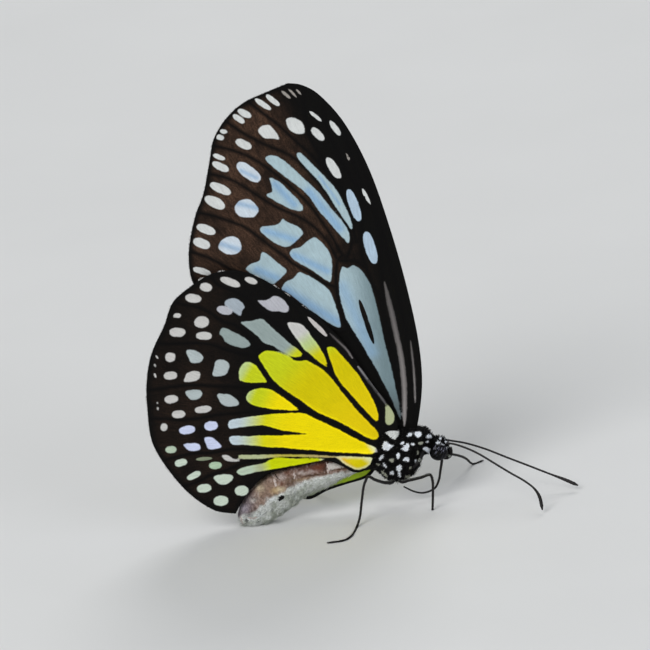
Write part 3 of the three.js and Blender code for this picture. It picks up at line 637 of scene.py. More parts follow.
def blended(first, second, share):
    """First colour, with the second's share of it at each place."""
    return np.asarray(first) * (1 - share[:, None]) + np.asarray(second) * share[:, None]


def band_share(places, x1, z1, x2, z2, half_width):
    """1 on the line between two places, and less away from it."""
    off, _ = distance_to_line(places, np.array([(x1, z1), (x2, z2)]))
    return np.exp(-(off / half_width) ** 2)


class Pattern:
    """Gathers, at each place, the signed distance to the nearest pale mark and that mark's colour."""

    def __init__(self, places):
        self.places = places
        self.mark = np.full(len(places), FAR)
        self.tint = np.ones((len(places), 3)) * 0.5
        self.brown = np.zeros(len(places))

    def lay(self, distance, colour):
        """One more mark: signed distance to its edge, and its colour, the same or one for each place."""
        closer = distance < self.mark
        self.mark[closer] = distance[closer]
        colour = np.broadcast_to(colour, (len(self.places), 3))
        self.tint[closer] = colour[closer]

    def lay_streak(self, line, half_width, tint):
        """A streak that tapers at both ends and darkens towards its sides."""
        line = evenly(smooth_line(line, 4), 0.2)
        off, along = distance_to_line(self.places, line)
        share = along / along.max()
        width = half_width * smooth_step(0, 0.2, share) ** 0.5 * smooth_step(1.02, 0.8, share) ** 0.5
        bright = np.array(linear(TINTS[tint]))
        strength = (0.25 + 0.75 * smooth_step(1.1, 0.2, off / half_width)) * (0.5 + 1.1 * share)
        self.lay(off - width - 0.06, bright * strength[:, None])

    def lay_all(self, spots, patches, streaks=()):
        """All the plain marks of a wing or of the body."""
        for streak in streaks:
            self.lay_streak(*streak)
        for tint, group in spots.items():
            for spot in group:
                self.lay(spot_distance(self.places, *spot), linear(TINTS[tint]))
        for tint, group in patches.items():
            for outline in group:
                self.lay(patch_distance(self.places, outline), linear(TINTS[tint]))


def forewing_pattern(places):
    pattern = Pattern(places)
    pattern.lay_all(FOREWING_SPOTS, FOREWING_PATCHES, FOREWING_STREAKS)
    glass, sky, steel = (linear(TINTS[t]) for t in ("glass", "sky", "steel"))
    for fold in FOREWING_FOLDS:
        pattern.tint = blended(pattern.tint, sky, 0.7 * band_share(places, *fold))
    for outline, band in FOREWING_WINDOWS.values():
        pattern.lay(patch_distance(places, outline), blended(glass, sky, 0.85 * band_share(places, *band)))
    cell = patch_distance(places, FOREWING_CELL)
    cell = np.maximum(cell, -spot_distance(places, *FOREWING_CELL_BAR))
    # The cell darkens towards the costa and the root.
    dulled = smooth_step(14.2, 18.2, places[:, 0])
    base = blended(blended(glass, steel, dulled), linear(TINTS["slate"]), smooth_step(15.0, 10.5, places[:, 1]))
    pattern.lay(cell, blended(base, sky, 0.55 * band_share(places, *FOREWING_CELL_BAND)))
    costal = smooth_step(13.0, 18.5, places[:, 0] + 0.32 * (places[:, 1] - 30))
    pattern.brown = 1.15 * (1 - costal) * smooth_step(20, 34, places[:, 1])
    return pattern


def hindwing_pattern(places, far_strip=None):
    pattern = Pattern(places)
    pattern.lay_all(HINDWING_SPOTS, HINDWING_PATCHES, HINDWING_EDGE_HIGHLIGHTS)
    reach = np.linalg.norm(places - HINDWING_ROOT, axis=1)
    lime, yellow, ochre, amber = (linear(TINTS[t]) for t in ("lime", "yellow", "ochre", "amber"))
    # The cell and the space in front of it are duller than the bright spaces below.
    in_cell = smooth_step(-0.6, 0.6, places[:, 1] - (8.3 + (15.6 - places[:, 0]) * 0.78))
    dull = blended(ochre, amber, smooth_step(10.0, 3.0, reach))
    rich = blended(yellow, dull, in_cell)
    rich = blended(lime, rich, smooth_step(15.5, 10.0, reach))
    cream = linear(TINTS["cream"])
    windows = {**HINDWING_YELLOWS, "inner_lobe": far_strip} if far_strip else HINDWING_YELLOWS
    for name, (outline, first, *changes) in windows.items():
        colour = np.tile(linear(TINTS[first]), (len(places), 1))
        for begins, full, tint in changes:
            following = rich if tint == "rich" else linear(TINTS[tint])
            colour = blended(colour, following, smooth_step(begins, full, reach))
        # The scales thin out and brighten along the black veins.
        off = patch_distance(places, outline)
        rim = smooth_step(-0.32, -0.05, off)
        hemmed = name == "inner_lobe" and not far_strip
        colour = blended(colour, cream, 0.8 * rim) if hemmed else colour * (1 + 0.12 * rim)[:, None]
        pattern.lay(off, colour)
    pattern.brown = 0.27 * smooth_step(4, -3, places[:, 0])
    return pattern


def far_hindwing_pattern(places):
    return hindwing_pattern(places, FAR_STRIP)


HINDWING_PATTERN = {"right": hindwing_pattern, "left": far_hindwing_pattern}


# ---- Wing shapes ----

FOREWING_EDGES = [
    [(20.0, 7.6), (20.9, 10.2), (21.75, 14.2), (21.95, 19.0), (21.5, 25.3), (20.6, 32.2), (19.2, 39.6),
     (17.2, 45.4), (14.9, 49.1), (13.1, 50.6), (11.6, 51.05)],
    [(11.6, 51.05), (9.2, 50.4), (6.4, 49.5), (4.3, 48.0), (2.6, 45.8), (1.7, 43.0), (0.6, 39.6), (-0.7, 37.0),
     (-1.8, 33.6), (-2.1, 31.0), (-1.9, 29.3), (-1.2, 27.8)],
    [(-1.2, 27.8), (2.0, 25.4), (7.0, 20.6), (12.0, 14.8), (15.6, 10.4), (18.0, 7.0)],
]
HINDWING_OUTER_EDGES = [
    [(18.0, 7.6), (18.35, 9.9), (17.7, 12.2), (16.2, 14.9), (14.0, 19.6), (12.0, 22.7), (8.8, 26.2),
     (6.0, 28.8), (3.6, 30.25), (1.2, 30.55), (-0.6, 30.15), (-2.0, 29.45)],
    [(-2.0, 29.45), (-4.4, 27.8), (-5.8, 25.1), (-7.6, 22.1), (-8.6, 18.8), (-8.95, 15.5), (-8.95, 11.8),
     (-7.7, 8.4), (-5.7, 5.1), (-3.2, 2.7), (-0.85, 1.95)],
]
HINDWING_INNER_EDGE = {
    "right": [
        (-0.85, 1.95), (0.2, 3.45), (1.6, 4.9), (3.4, 6.08), (6.5, 6.56), (9.8, 6.7), (11.6, 6.0), (12.6, 5.2),
        (13.5, 4.95), (14.5, 5.4), (15.3, 6.6), (16.8, 7.0)],
    "left": [
        (-0.85, 1.95), (0.2, 3.5), (1.6, 5.05), (3.2, 5.5), (4.6, 4.4), (5.5, 2.5), (7.1, 1.6), (9.3, 2.3),
        (11.5, 2.7), (14.0, 3.1), (15.2, 4.1), (16.4, 6.4)],
}
# The right wings keep their place. The left ones turn about a root: its place, size and degrees lowered.
FOREWING_SET = {"right": None, "left": ((19.3, 8.8), 0.99, 0.2)}
HINDWING_SET = {"right": None, "left": ((16.6, 7.8), 0.975, 1.2)}
# Half the thickness of the membrane, half that of its rim, and the width over which it thins out.
MEMBRANE_HALF = 0.055
RIM_HALF = 0.03
RIM_WIDTH = 0.3
# How far a vein stands out, how much more it does at the root, where that ends, and its half width.
VEIN_HEIGHT = 0.05
VEIN_ROOT_HEIGHT = 0.07
VEIN_TAPER = 12.0
VEIN_HALF_WIDTH = 0.1
# Scale rows fan out from the root, and this many to a radian are counted as one streak each.
RAYS = 20
# The membrane sags between the veins by this much.
SAG = 0.05
# Space between the body's middle and the forewing, and between the abdomen and the hindwing.
FOREWING_ROOM = 0.33
HINDWING_ROOM = 0.46
HINDWING_LEAST = 1.05
POINT_SPACING = 0.165
# Distance of the rows of points beside a vein, and the least space between points in those rows,
# between them and the grid, and between the grid and the rim.
BESIDE_VEIN = 0.13
ROW_SPACE = 0.09
GRID_SPACE = 0.12
RIM_SPACE = 0.1

ABDOMEN_LINE = [
    (0.6, 1.05), (1.9, 2.0), (3.0, 2.8), (4.4, 3.55), (6.9, 4.55), (9.7, 4.95), (12.4, 5.4), (15.6, 6.0)]
ABDOMEN_HALF_HEIGHT = [1.4, 2.25, 2.5, 2.5, 2.05, 1.75, 1.5, 1.5]
ABDOMEN_WIDTH_TO_HEIGHT = 0.82
ABDOMEN_CURVE = smooth_line(ABDOMEN_LINE, 8)
ABDOMEN_HALF_AT = np.interp(np.linspace(0, 1, len(ABDOMEN_CURVE)), np.linspace(0, 1, 8), ABDOMEN_HALF_HEIGHT)


def abdomen_half_width(places):
    """Half the abdomen's width where a wing passes beside it."""
    best = np.zeros(len(places))
    for middle, half in zip(ABDOMEN_CURVE, ABDOMEN_HALF_AT):
        off = np.linalg.norm(places - middle, axis=1) / half
        best = np.maximum(best, ABDOMEN_WIDTH_TO_HEIGHT * half * np.sqrt(np.clip(1 - off * off, 0, 1)))
    return best


def forewing_offset(places):
    return np.full(len(places), FOREWING_ROOM)


def hindwing_offset(places):
    return smooth_max(HINDWING_LEAST, abdomen_half_width(places) + HINDWING_ROOM, 0.4)


def lowered(points, root, size, degrees):
    """Places on a wing after it shrinks and turns about its root."""
    turn = math.radians(degrees)
    off = (np.asarray(points, float) - root) * size
    x = off[:, 0] * math.cos(turn) - off[:, 1] * math.sin(turn)
    z = off[:, 0] * math.sin(turn) + off[:, 1] * math.cos(turn)
    return np.stack([x, z], 1) + root


def fill_outline(outline, veins, spacing):
    """Points and triangles that fill an outline, with rows of points along its veins."""
    rows = []
    for line in veins:
        line = evenly(line, spacing)
        way = np.gradient(line, axis=0)
        side = unit(np.stack([-way[:, 1], way[:, 0]], 1)) * BESIDE_VEIN
        rows += [line, line + side, line - side]
    cells, kept = set(), []
    for p in np.vstack(rows):
        cell = (round(p[0] / ROW_SPACE), round(p[1] / ROW_SPACE))
        if cell not in cells:
            cells.add(cell)
            kept.append(p)
    near_vein = {(math.floor(p[0] / GRID_SPACE) + i, math.floor(p[1] / GRID_SPACE) + j)
                 for p in kept for i in (-1, 0, 1) for j in (-1, 0, 1)}
    # The grid's rows are set for equal-sided triangles.
    low, high = outline.min(0), outline.max(0)
    for i, z in enumerate(np.arange(low[1], high[1], spacing * math.sqrt(3) / 2)):
        for x in np.arange(low[0] + (i % 2) * spacing / 2, high[0], spacing):
            if (math.floor(x / GRID_SPACE), math.floor(z / GRID_SPACE)) not in near_vein:
                kept.append((x, z))
    kept = np.array(kept)
    kept = kept[inside(kept, outline)]
    off, _ = distance_to_line(kept, ring_of(outline))
    points = np.vstack([outline, kept[off > RIM_SPACE]])
    count = len(outline)
    edges = [(i, (i + 1) % count) for i in range(count)]
    found, _, faces, *_ = delaunay_2d_cdt([Vector(p) for p in points], edges, [], 1, 1e-6)
    return np.array([tuple(p) for p in found]), np.array([tuple(f) for f in faces])


def rim_of(faces):
    """The open edges of a sheet of triangles, each in its face's direction."""
    edges = np.vstack([faces[:, [0, 1]], faces[:, [1, 2]], faces[:, [2, 0]]])
    seen = {}
    for a, b in edges.tolist():
        seen[(a, b)] = seen.get((a, b), 0) + 1
    return [(a, b) for a, b in seen if (b, a) not in seen]


def build_wing(name, side, edges, veins, fine_lines, root, pattern_of, offset_of, lowering):
    """One wing: a two-sided sheet with raised veins, its pattern noted at every point."""
    outline = np.vstack([smooth_line(edge, 6)[:-1] for edge in edges])
    outline = evenly(ring_of(outline), POINT_SPACING)[:-1]
    vein_lines = [smooth_line(line, 4) for line in veins.values()]
    streak_lines = [smooth_line(line, 4) for line in fine_lines]
    places, faces = fill_outline(outline, vein_lines + streak_lines, POINT_SPACING)
    reach = np.linalg.norm(places - root, axis=1)
    stout = VEIN_HEIGHT + VEIN_ROOT_HEIGHT * np.exp(-reach / VEIN_TAPER)
    vein_off = np.full(len(places), FAR)
    ridge = np.zeros(len(places))
    for line in vein_lines:
        off, _ = distance_to_line(places, line)
        vein_off = np.minimum(vein_off, off)
        ridge = np.maximum(ridge, stout * np.exp(-(off / (VEIN_HALF_WIDTH + stout)) ** 2))
    rim_off, _ = distance_to_line(places, ring_of(outline))
    half = RIM_HALF + (MEMBRANE_HALF - RIM_HALF) * smooth_step(0, RIM_WIDTH, rim_off)
    sag = SAG * smooth_step(0, 1.2, vein_off) * np.sin(places[:, 0] * 1.7) * np.sin(places[:, 1] * 1.3)
    marks = pattern_of(places)
    marks.brown *= smooth_step(0.1, 0.9, rim_off)
    angle = np.arctan2(places[:, 0] - root[0], places[:, 1] - root[1])
    set_places = lowered(places, *lowering) if lowering else places
    middle = offset_of(set_places) + sag * smooth_step(0, 0.6, rim_off)
    sheets = []
    for way in (1, -1):
        y = side * (middle + way * (half + ridge))
        sheets.append(np.stack([set_places[:, 0], y, set_places[:, 1]], 1))
    count = len(places)
    outer = faces if side < 0 else faces[:, ::-1]
    inner = outer[:, ::-1] + count
    rim = [(b, a, a + count, b + count) for a, b in rim_of(outer)]
    piece = make_piece(name, np.vstack(sheets), outer.tolist() + inner.tolist() + rim)
    for key, values in (("mark", marks.mark), ("vein", vein_off), ("ray", angle * RAYS), ("reach", reach),
                        ("brown", marks.brown)):
        note_values(piece, key, np.tile(values, 2))
    note_values(piece, "tint", np.vstack([marks.tint] * 2))
    # Flat layout: the two faces side by side.
    low, high = places.min(0), places.max(0)
    size = max(2 * (high - low)[0], (high - low)[1]) * 1.02
    flat = (places - low) / size + 0.005
    lay_out(piece, np.vstack([flat, flat + (0.5, 0)]))
    return piece


scales = wing_scales()
for label, side in SIDES:
    wing = build_wing(
        f"forewing_{label}_scaled", side, FOREWING_EDGES, FOREWING_VEINS,
        [line for line, *_ in FOREWING_STREAKS], FOREWING_ROOT,
        forewing_pattern, forewing_offset, FOREWING_SET[label])
    finish_piece(wing, scales, "wing_dark", f"forewing_{label}")
    wing = build_wing(
        f"hindwing_{label}_scaled", side, HINDWING_OUTER_EDGES + [HINDWING_INNER_EDGE[label]],
        HINDWING_VEINS, [line for line, *_ in HINDWING_EDGE_HIGHLIGHTS] + HINDWING_FINE_LINES, HINDWING_ROOT,
        HINDWING_PATTERN[label], hindwing_offset, HINDWING_SET[label])
    finish_piece(wing, scales, "wing_yellow", f"hindwing_{label}")


# ---- Body ----
# One skin from the abdomen's tip to the face, and its coat of scales and hair.

# Rounded masses under the coat: centre, half lengths, and the depth of the coat over them.
THORAX_MAIN = ((18.0, 0, 6.1), (2.75, 2.3, 3.25), 0.3)
THORAX_FRONT = ((20.1, 0, 7.35), (1.85, 1.65, 1.6), 0.3)
SHOULDERS = [((17.45, side * 0.95, 8.1), (1.35, 0.95, 1.2), 0.3) for side in (-1, 1)]
BREAST = ((17.5, 0, 4.5), (1.8, 1.75, 1.65), 0.2)
NECK = ((21.3, 0, 6.4), (1.0, 0.95, 1.0), 0.32)
HEAD = ((22.6, 0, 5.95), (1.25, 1.05, 1.4), 0.28)
ABDOMEN_COAT = 0.17
FLESH_BLEND = 0.45
SPINE = ABDOMEN_LINE[:-1] + [(15.3, 5.95), (17.4, 6.3), (19.2, 6.6), (20.4, 6.7), (21.5, 6.4), (22.6, 5.95)]
EYE_AT = np.array([22.4, 1.05, 5.85])
EYE_HALF = np.array([0.98, 0.56, 1.02])
EYE_ROOM = 0.03

# Body marks lie on the near side of the body as seen a little from above, so their heights are
# those of a place raised by how near it is to the middle of the body.
SIDE_VIEW_RISE = 0.364
SIDE_VIEW_DEPTH = 2.0
RINGS_BEGIN = 15.05


def side_places(places):
    """Where each place is in the side view, as (x, height)."""
    rise = SIDE_VIEW_RISE * (SIDE_VIEW_DEPTH - np.abs(places[:, 1]))
    return np.stack([places[:, 0], places[:, 2] + rise], 1)


BODY_SPOTS = {
    "bright": [
        (19.2, 8.5, 19.85, 8.85, 0.42), (21.35, 8.15, 22.05, 8.2, 0.55), (18.35, 7.7, 18.85, 7.9, 0.35),
        (19.5, 7.5, 19.95, 7.48, 0.36), (21.28, 7.5, 21.58, 7.52, 0.3), (15.72, 6.15, 16.32, 6.7, 0.42),
        (17.9, 6.0, 18.0, 6.8, 0.42), (16.02, 5.72, 16.5, 5.15, 0.38), (19.68, 5.25, 19.95, 5.65, 0.3),
        (16.75, 4.55, 17.2, 4.25, 0.5), (17.75, 4.45, 17.85, 3.75, 0.34), (22.3, 7.25, 22.85, 7.38, 0.38),
        (22.7, 7.75, 23.1, 7.78, 0.34), (23.3, 7.6, 23.62, 7.62, 0.32), (23.3, 7.2, 23.7, 7.2, 0.32),
        (21.6, 6.45, 22.15, 6.85, 0.26), (22.85, 6.98, 23.35, 6.88, 0.2), (23.4, 6.5, 23.6, 6.4, 0.22),
        (17.5, 4.9, 18.2, 4.85, 0.75)],
    "bone": [
        (20.35, 7.45, 20.98, 7.48, 0.36), (16.85, 5.9, 17.42, 5.92, 0.6), (15.85, 4.85, 16.38, 3.95, 0.34),
        (18.98, 4.62, 19.28, 4.8, 0.3), (18.35, 3.55, 19.15, 3.65, 0.55), (20.2, 6.15, 20.2, 6.7, 0.28),
        (15.42, 5.9, 15.62, 5.4, 0.24), (16.1, 3.75, 16.4, 3.7, 0.3), (15.35, 7.45, 15.75, 7.05, 0.3),
        (17.9, 3.25, 18.4, 3.1, 0.3)],
    "ring": [
        (3.66, 6.6, 3.87, 5.8, 0.16), (3.87, 5.85, 4.03, 4.7, 0.2), (6.23, 6.3, 6.13, 5.3, 0.18),
        (9.96, 6.8, 9.94, 5.3, 0.18), (-0.38, 1.75, -0.28, 0.6, 0.24), (0.3, 1.6, 1.4, 1.25, 0.2)],
    "pale": [(1.45, 5.3, 1.95, 5.35, 0.24), (-0.6, 3.1, -0.15, 3.35, 0.24)],
    "umber": [(10.1, 5.76, 12.3, 5.76, 0.12)],
    "bark": [(4.02, 6.35, 4.45, 5.45, 0.17)],
    "ink": [(4.05, 3.12, 4.72, 3.62, 0.52), (0.1, 1.35, 0.18, 0.85, 0.3), (1.3, 0.88, 1.52, 0.76, 0.2)],
}
# Soft shades of the abdomen: x and height of the middle, half length, half height, tint and share.
ABDOMEN_SHADES = [
    (0.05, 2.75, 0.6, 0.45, "lilac_grey", 0.9), (0.15, 3.75, 0.5, 0.5, "bark", 0.7),
    (1.1, 4.5, 0.5, 0.6, "umber", 0.6), (1.35, 3.5, 0.4, 0.3, "linen", 0.7),
    (2.2, 4.85, 0.45, 0.55, "buff", 0.75), (2.2, 5.6, 0.6, 0.4, "olive_grey", 0.7),
    (3.05, 4.9, 0.6, 0.9, "fawn", 0.9), (1.1, 2.35, 0.5, 0.4, "umber", 0.6), (0.6, 1.8, 0.5, 0.25, "bark", 0.6),
    (3.8, 4.3, 0.42, 0.4, "sand", 1.0), (4.4, 4.35, 0.5, 0.3, "buff", 0.85),
    (4.85, 5.8, 0.45, 0.4, "ring", 0.8), (5.5, 6.2, 0.4, 0.4, "rust", 0.6), (5.6, 5.0, 0.7, 0.5, "umber", 0.65),
    (4.6, 4.95, 0.3, 0.4, "rust", 0.6), (8.9, 6.3, 0.85, 0.5, "rust", 1.0), (9.7, 6.15, 0.3, 0.5, "bark", 0.7),
    (7.0, 5.95, 0.6, 0.2, "ring", 0.9), (8.2, 5.95, 0.5, 0.16, "ring", 0.7),
    (8.1, 5.5, 1.8, 0.15, "umber", 1.0), (6.9, 5.15, 0.9, 0.22, "tan", 0.35),
    (6.5, 6.9, 2.4, 0.35, "bark", 0.8), (2.2, 6.3, 1.6, 0.5, "bark", 0.8),
    (3.26, 3.3, 0.55, 0.3, "snow_white", 0.9), (1.65, 1.75, 0.6, 0.35, "snow_white", 0.9),
    (2.6, 2.5, 0.5, 0.3, "snow_white", 0.6), (6.7, 4.6, 0.6, 0.35, "snow_white", 0.6),
    (4.95, 3.35, 0.25, 0.3, "moss", 0.6)]
BODY_PATCHES = {
    "snow": [
        [(16.75, 9.4), (17.0, 9.6), (17.9, 9.5), (18.4, 9.4), (18.4, 9.0), (18.15, 8.6), (17.8, 8.38),
         (17.4, 8.6), (17.1, 9.0)],
    ],
    "bright": [
        [(16.22, 7.6), (16.35, 8.0), (16.7, 8.35), (17.05, 8.1), (17.3, 7.8), (17.65, 7.7), (17.45, 7.5),
         (17.15, 7.3), (16.9, 7.15), (16.5, 7.2)],
        [(20.1, 8.85), (20.5, 8.92), (20.82, 8.85), (20.85, 8.45), (20.5, 8.15), (20.2, 8.35)],
        [(18.35, 7.15), (18.6, 7.4), (19.0, 7.62), (19.3, 7.72), (19.32, 7.3), (19.2, 6.85), (18.9, 6.75),
         (18.55, 6.92)],
        [(18.35, 5.8), (18.6, 6.02), (19.0, 6.08), (19.12, 5.75), (19.0, 5.45), (18.7, 5.5)],
        [(20.75, 6.75), (21.0, 6.95), (21.3, 6.9), (21.6, 6.6), (21.6, 6.2), (21.4, 5.9), (21.2, 6.2),
         (20.95, 6.45)],
    ],
    "linen": [[(10.05, 6.6), (10.9, 6.6), (11.6, 6.2), (11.9, 5.95), (10.9, 5.9), (10.05, 5.9)]],
}
BODY_TINTS = {
    "bright": "#f6faff",
    "bone": "#b4b6a6",
    "ring": "#cabbb4",
    "pale": "#b8ada4",
    "tan": "#ab9268",
    "umber": "#523a2d",
    "ink": "#120f0c",
    "soot": "#0a0909",
    "fawn": "#957c6c",
    "snow": "#e0e2de",
    "russet": "#6d4c40",
    "ash": "#867a80",
    "lilac_grey": "#b5acb6",
    "snow_white": "#dfe2e0",
    "rust": "#6b3d2c",
    "bark": "#30251c",
    "linen": "#cfc8c0",
    "pebble": "#999e92",
    "olive_grey": "#84795e",
    "buff": "#d8c8a8",
    "sand": "#bb9d72",
}
TINTS.update(BODY_TINTS)
# Where the brown of the abdomen's back meets the whitish belly, as (x, height).
BELLY_LINE = [
    (-1.0, 1.7), (0.0, 1.9), (1.2, 2.1), (2.0, 2.6), (3.0, 3.4), (4.6, 4.0), (6.0, 4.75), (8.0, 5.1),
    (10.0, 5.3), (13.0, 5.45), (15.0, 5.5)]


def mottling(places, size):
    """Soft random blotches of about this size in mm, from -1 to 1, drawn out round the body."""
    squeezed = places * (1.5 / size, 1 / size, 1 / size)
    return np.array([noise.noise(Vector(p)) for p in squeezed])


def body_ground(places):
    """Colour between the marks: black on thorax and head, brown above and whitish below on the abdomen."""
    x, height = side_places(places).T
    fawn, snow, soot, russet, ash, moss, bark, ring, pebble = (
        np.array(linear(TINTS[tint]))
        for tint in ("fawn", "snow", "soot", "russet", "ash", "moss", "bark", "ring", "pebble"))
    fine, coarse = mottling(places, 0.3), mottling(places + 40, 0.9)
    back = blended(fawn, russet, smooth_step(3.4, 8.5, x) * smooth_step(5.0, 6.4, height))
    back = blended(back, ash, smooth_step(2.2, 0.2, x))
    back = blended(back, bark, 0.5 * smooth_step(0.0, 0.5, fine))
    back = blended(back, ring, 0.45 * smooth_step(0.05, 0.5, -fine))
    line = np.interp(x, *np.array(BELLY_LINE).T) + 0.4 * coarse
    # Further below the belly line the belly greys to moss green, painted shade and painted green reflection
    # from below. The pebble blotches are painted shade in random patches.
    belly = blended(snow, moss, 0.5 * smooth_step(0.5, 2.2, line - height + 1.6 * coarse))
    belly = blended(belly, pebble, 0.6 * smooth_step(0.0, 0.5, fine))
    colour = blended(belly, back, smooth_step(-0.22, 0.22, height - line))
    x, height = x + 0.25 * coarse, height + 0.2 * mottling(places + 80, 0.6)
    for middle, rise, long, tall, tint, share in ABDOMEN_SHADES:
        near = np.exp(-((x - middle) / long) ** 2 - ((height - rise) / tall) ** 2)
        shade = share * near * smooth_step(RINGS_BEGIN, RINGS_BEGIN - 1, x)
        colour = blended(colour, linear(TINTS[tint]), shade)
    # The thorax's black is carried a little further back low on the flanks and under the belly, painted shade
    # where the abdomen tucks under the thorax.
    x = x + 0.9 * smooth_step(6.7, 6.1, height)
    return blended(colour, soot, smooth_step(RINGS_BEGIN - 0.25, RINGS_BEGIN + 0.1, x))


def flesh_depth(points):
    """Signed distance to the skin in mm, below 0 inside."""
    found = np.full(len(points), FAR)
    for middle, half in zip(ABDOMEN_CURVE, ABDOMEN_HALF_AT):
        off = np.sqrt((points[:, 0] - middle[0]) ** 2 + (points[:, 2] - middle[1]) ** 2
                      + (points[:, 1] / ABDOMEN_WIDTH_TO_HEIGHT) ** 2)
        found = np.minimum(found, off - (half - ABDOMEN_COAT))
    for at, half, coat in (THORAX_MAIN, THORAX_FRONT, *SHOULDERS, BREAST, NECK, HEAD):
        away = points - at
        reached = np.linalg.norm(away / (np.array(half) - coat), axis=1)
        off = np.linalg.norm(away, axis=1) * (1 - 1 / np.maximum(reached, 1e-6))
        found = smooth_min(found, off, FLESH_BLEND)
    return found


# Points in each ring of the skin, space between the rings, and rings that close each end.
AROUND = 132
RING_SPACE = 0.13
END_RINGS = 16
FLOOR_CLEARANCE = 0.012


def skin_rings():
    """Rings of points where rays from the spine meet the skin, from the tip to the face."""
    line = evenly(smooth_line(SPINE, 8), RING_SPACE)
    way = unit(np.gradient(line, axis=0))
    end_turns = np.radians(np.linspace(4, 84, END_RINGS))
    rings = [(line[0], way[0], -math.cos(turn)) for turn in end_turns]
    rings += [(centre, heading, 0.0) for centre, heading in zip(line, way)]
    rings += [(line[-1], way[-1], math.cos(turn)) for turn in end_turns[::-1]]
    centres, ways, leans = (np.array(column) for column in zip(*rings))
    angle = np.arange(AROUND) / AROUND * 2 * math.pi
    up = np.stack([-ways[:, 1], ways[:, 0]], 1)
    lean, spread = leans[:, None], np.sqrt(1 - leans ** 2)[:, None]
    rays = np.stack([
        lean * ways[:, :1] + spread * up[:, :1] * np.cos(angle),
        spread * np.sin(angle) * np.ones((len(ways), 1)),
        lean * ways[:, 1:] + spread * up[:, 1:] * np.cos(angle)], 2).reshape(-1, 3)
    starts = np.repeat(np.stack([centres[:, 0], np.zeros(len(centres)), centres[:, 1]], 1), AROUND, 0)
    near, far = np.zeros(len(rays)), np.full(len(rays), 5.0)
    for _ in range(20):
        middle = (near + far) / 2
        within = flesh_depth(starts + rays * middle[:, None]) < 0
        near, far = np.where(within, middle, near), np.where(within, far, middle)
    return starts, rays, near, centres


ABDOMEN_FOLDS = (2.1, 3.85, 6.05, 8.0, 9.9, 11.9, 13.8)
FOLD_DEPTH = 0.07
BELLY_HOLLOW = 0.28


def build_skin():
    """The skin's rings of points, with the folds of the abdomen and the hollow of the belly."""
    starts, rays, reach, centres = skin_rings()
    middle_x = np.repeat(centres[:, 0], AROUND)
    for fold in ABDOMEN_FOLDS:
        # Each ring of the abdomen overlaps the next one like a sleeve.
        off = middle_x - fold
        groove, swelling = np.exp(-(off / 0.1) ** 2), np.exp(-((off - 0.3) / 0.25) ** 2)
        reach = reach - FOLD_DEPTH * groove + FOLD_DEPTH / 2 * swelling
    # The belly is hollow in front, where it leaves the thorax.
    under = np.clip(-rays[:, 2], 0, 1) * smooth_step(9.5, 11.5, middle_x) * smooth_step(15.2, 14.0, middle_x)
    places = starts + rays * (reach - BELLY_HOLLOW * under)[:, None]
    places[:, 2] = np.maximum(places[:, 2], FLOOR_CLEARANCE)
    return places.reshape(len(centres), AROUND, 3)


SKIN = build_skin()
ROWS = len(SKIN)
# Length along the skin at each ring, and from end to end.
SKIN_ALONG = np.concatenate([[0], np.cumsum(np.linalg.norm(np.diff(SKIN, axis=0), axis=2).mean(1))])
SKIN_ALONG += np.linalg.norm(SKIN[0] - SKIN[0].mean(0), axis=1).mean()
SKIN_LENGTH = SKIN_ALONG[-1] + np.linalg.norm(SKIN[-1] - SKIN[-1].mean(0), axis=1).mean()


def skin_normals():
    """Outward directions at the skin's points."""
    along = np.gradient(SKIN, axis=0)
    around = np.roll(SKIN, -1, 1) - np.roll(SKIN, 1, 1)
    normal = np.cross(along, around)
    return normal / np.maximum(np.linalg.norm(normal, axis=2), 1e-9)[:, :, None]


SKIN_NORMALS = skin_normals()


def noted_body(places):
    """The marks of the body at each place, and its colour between them."""
    marks = Pattern(side_places(places))
    marks.lay_all(BODY_SPOTS, BODY_PATCHES)
    # The spots of the thorax and head come in pairs, parted by a dark line down the middle.
    marks.mark += 0.6 * smooth_step(0.2, 0.06, np.abs(places[:, 1])) * (places[:, 0] > RINGS_BEGIN)
    # The marks of the abdomen run out in ragged scales.
    marks.mark += 0.22 * mottling(places + 20, 0.32) * smooth_step(RINGS_BEGIN, RINGS_BEGIN - 0.3, places[:, 0])
    return marks, body_ground(places)


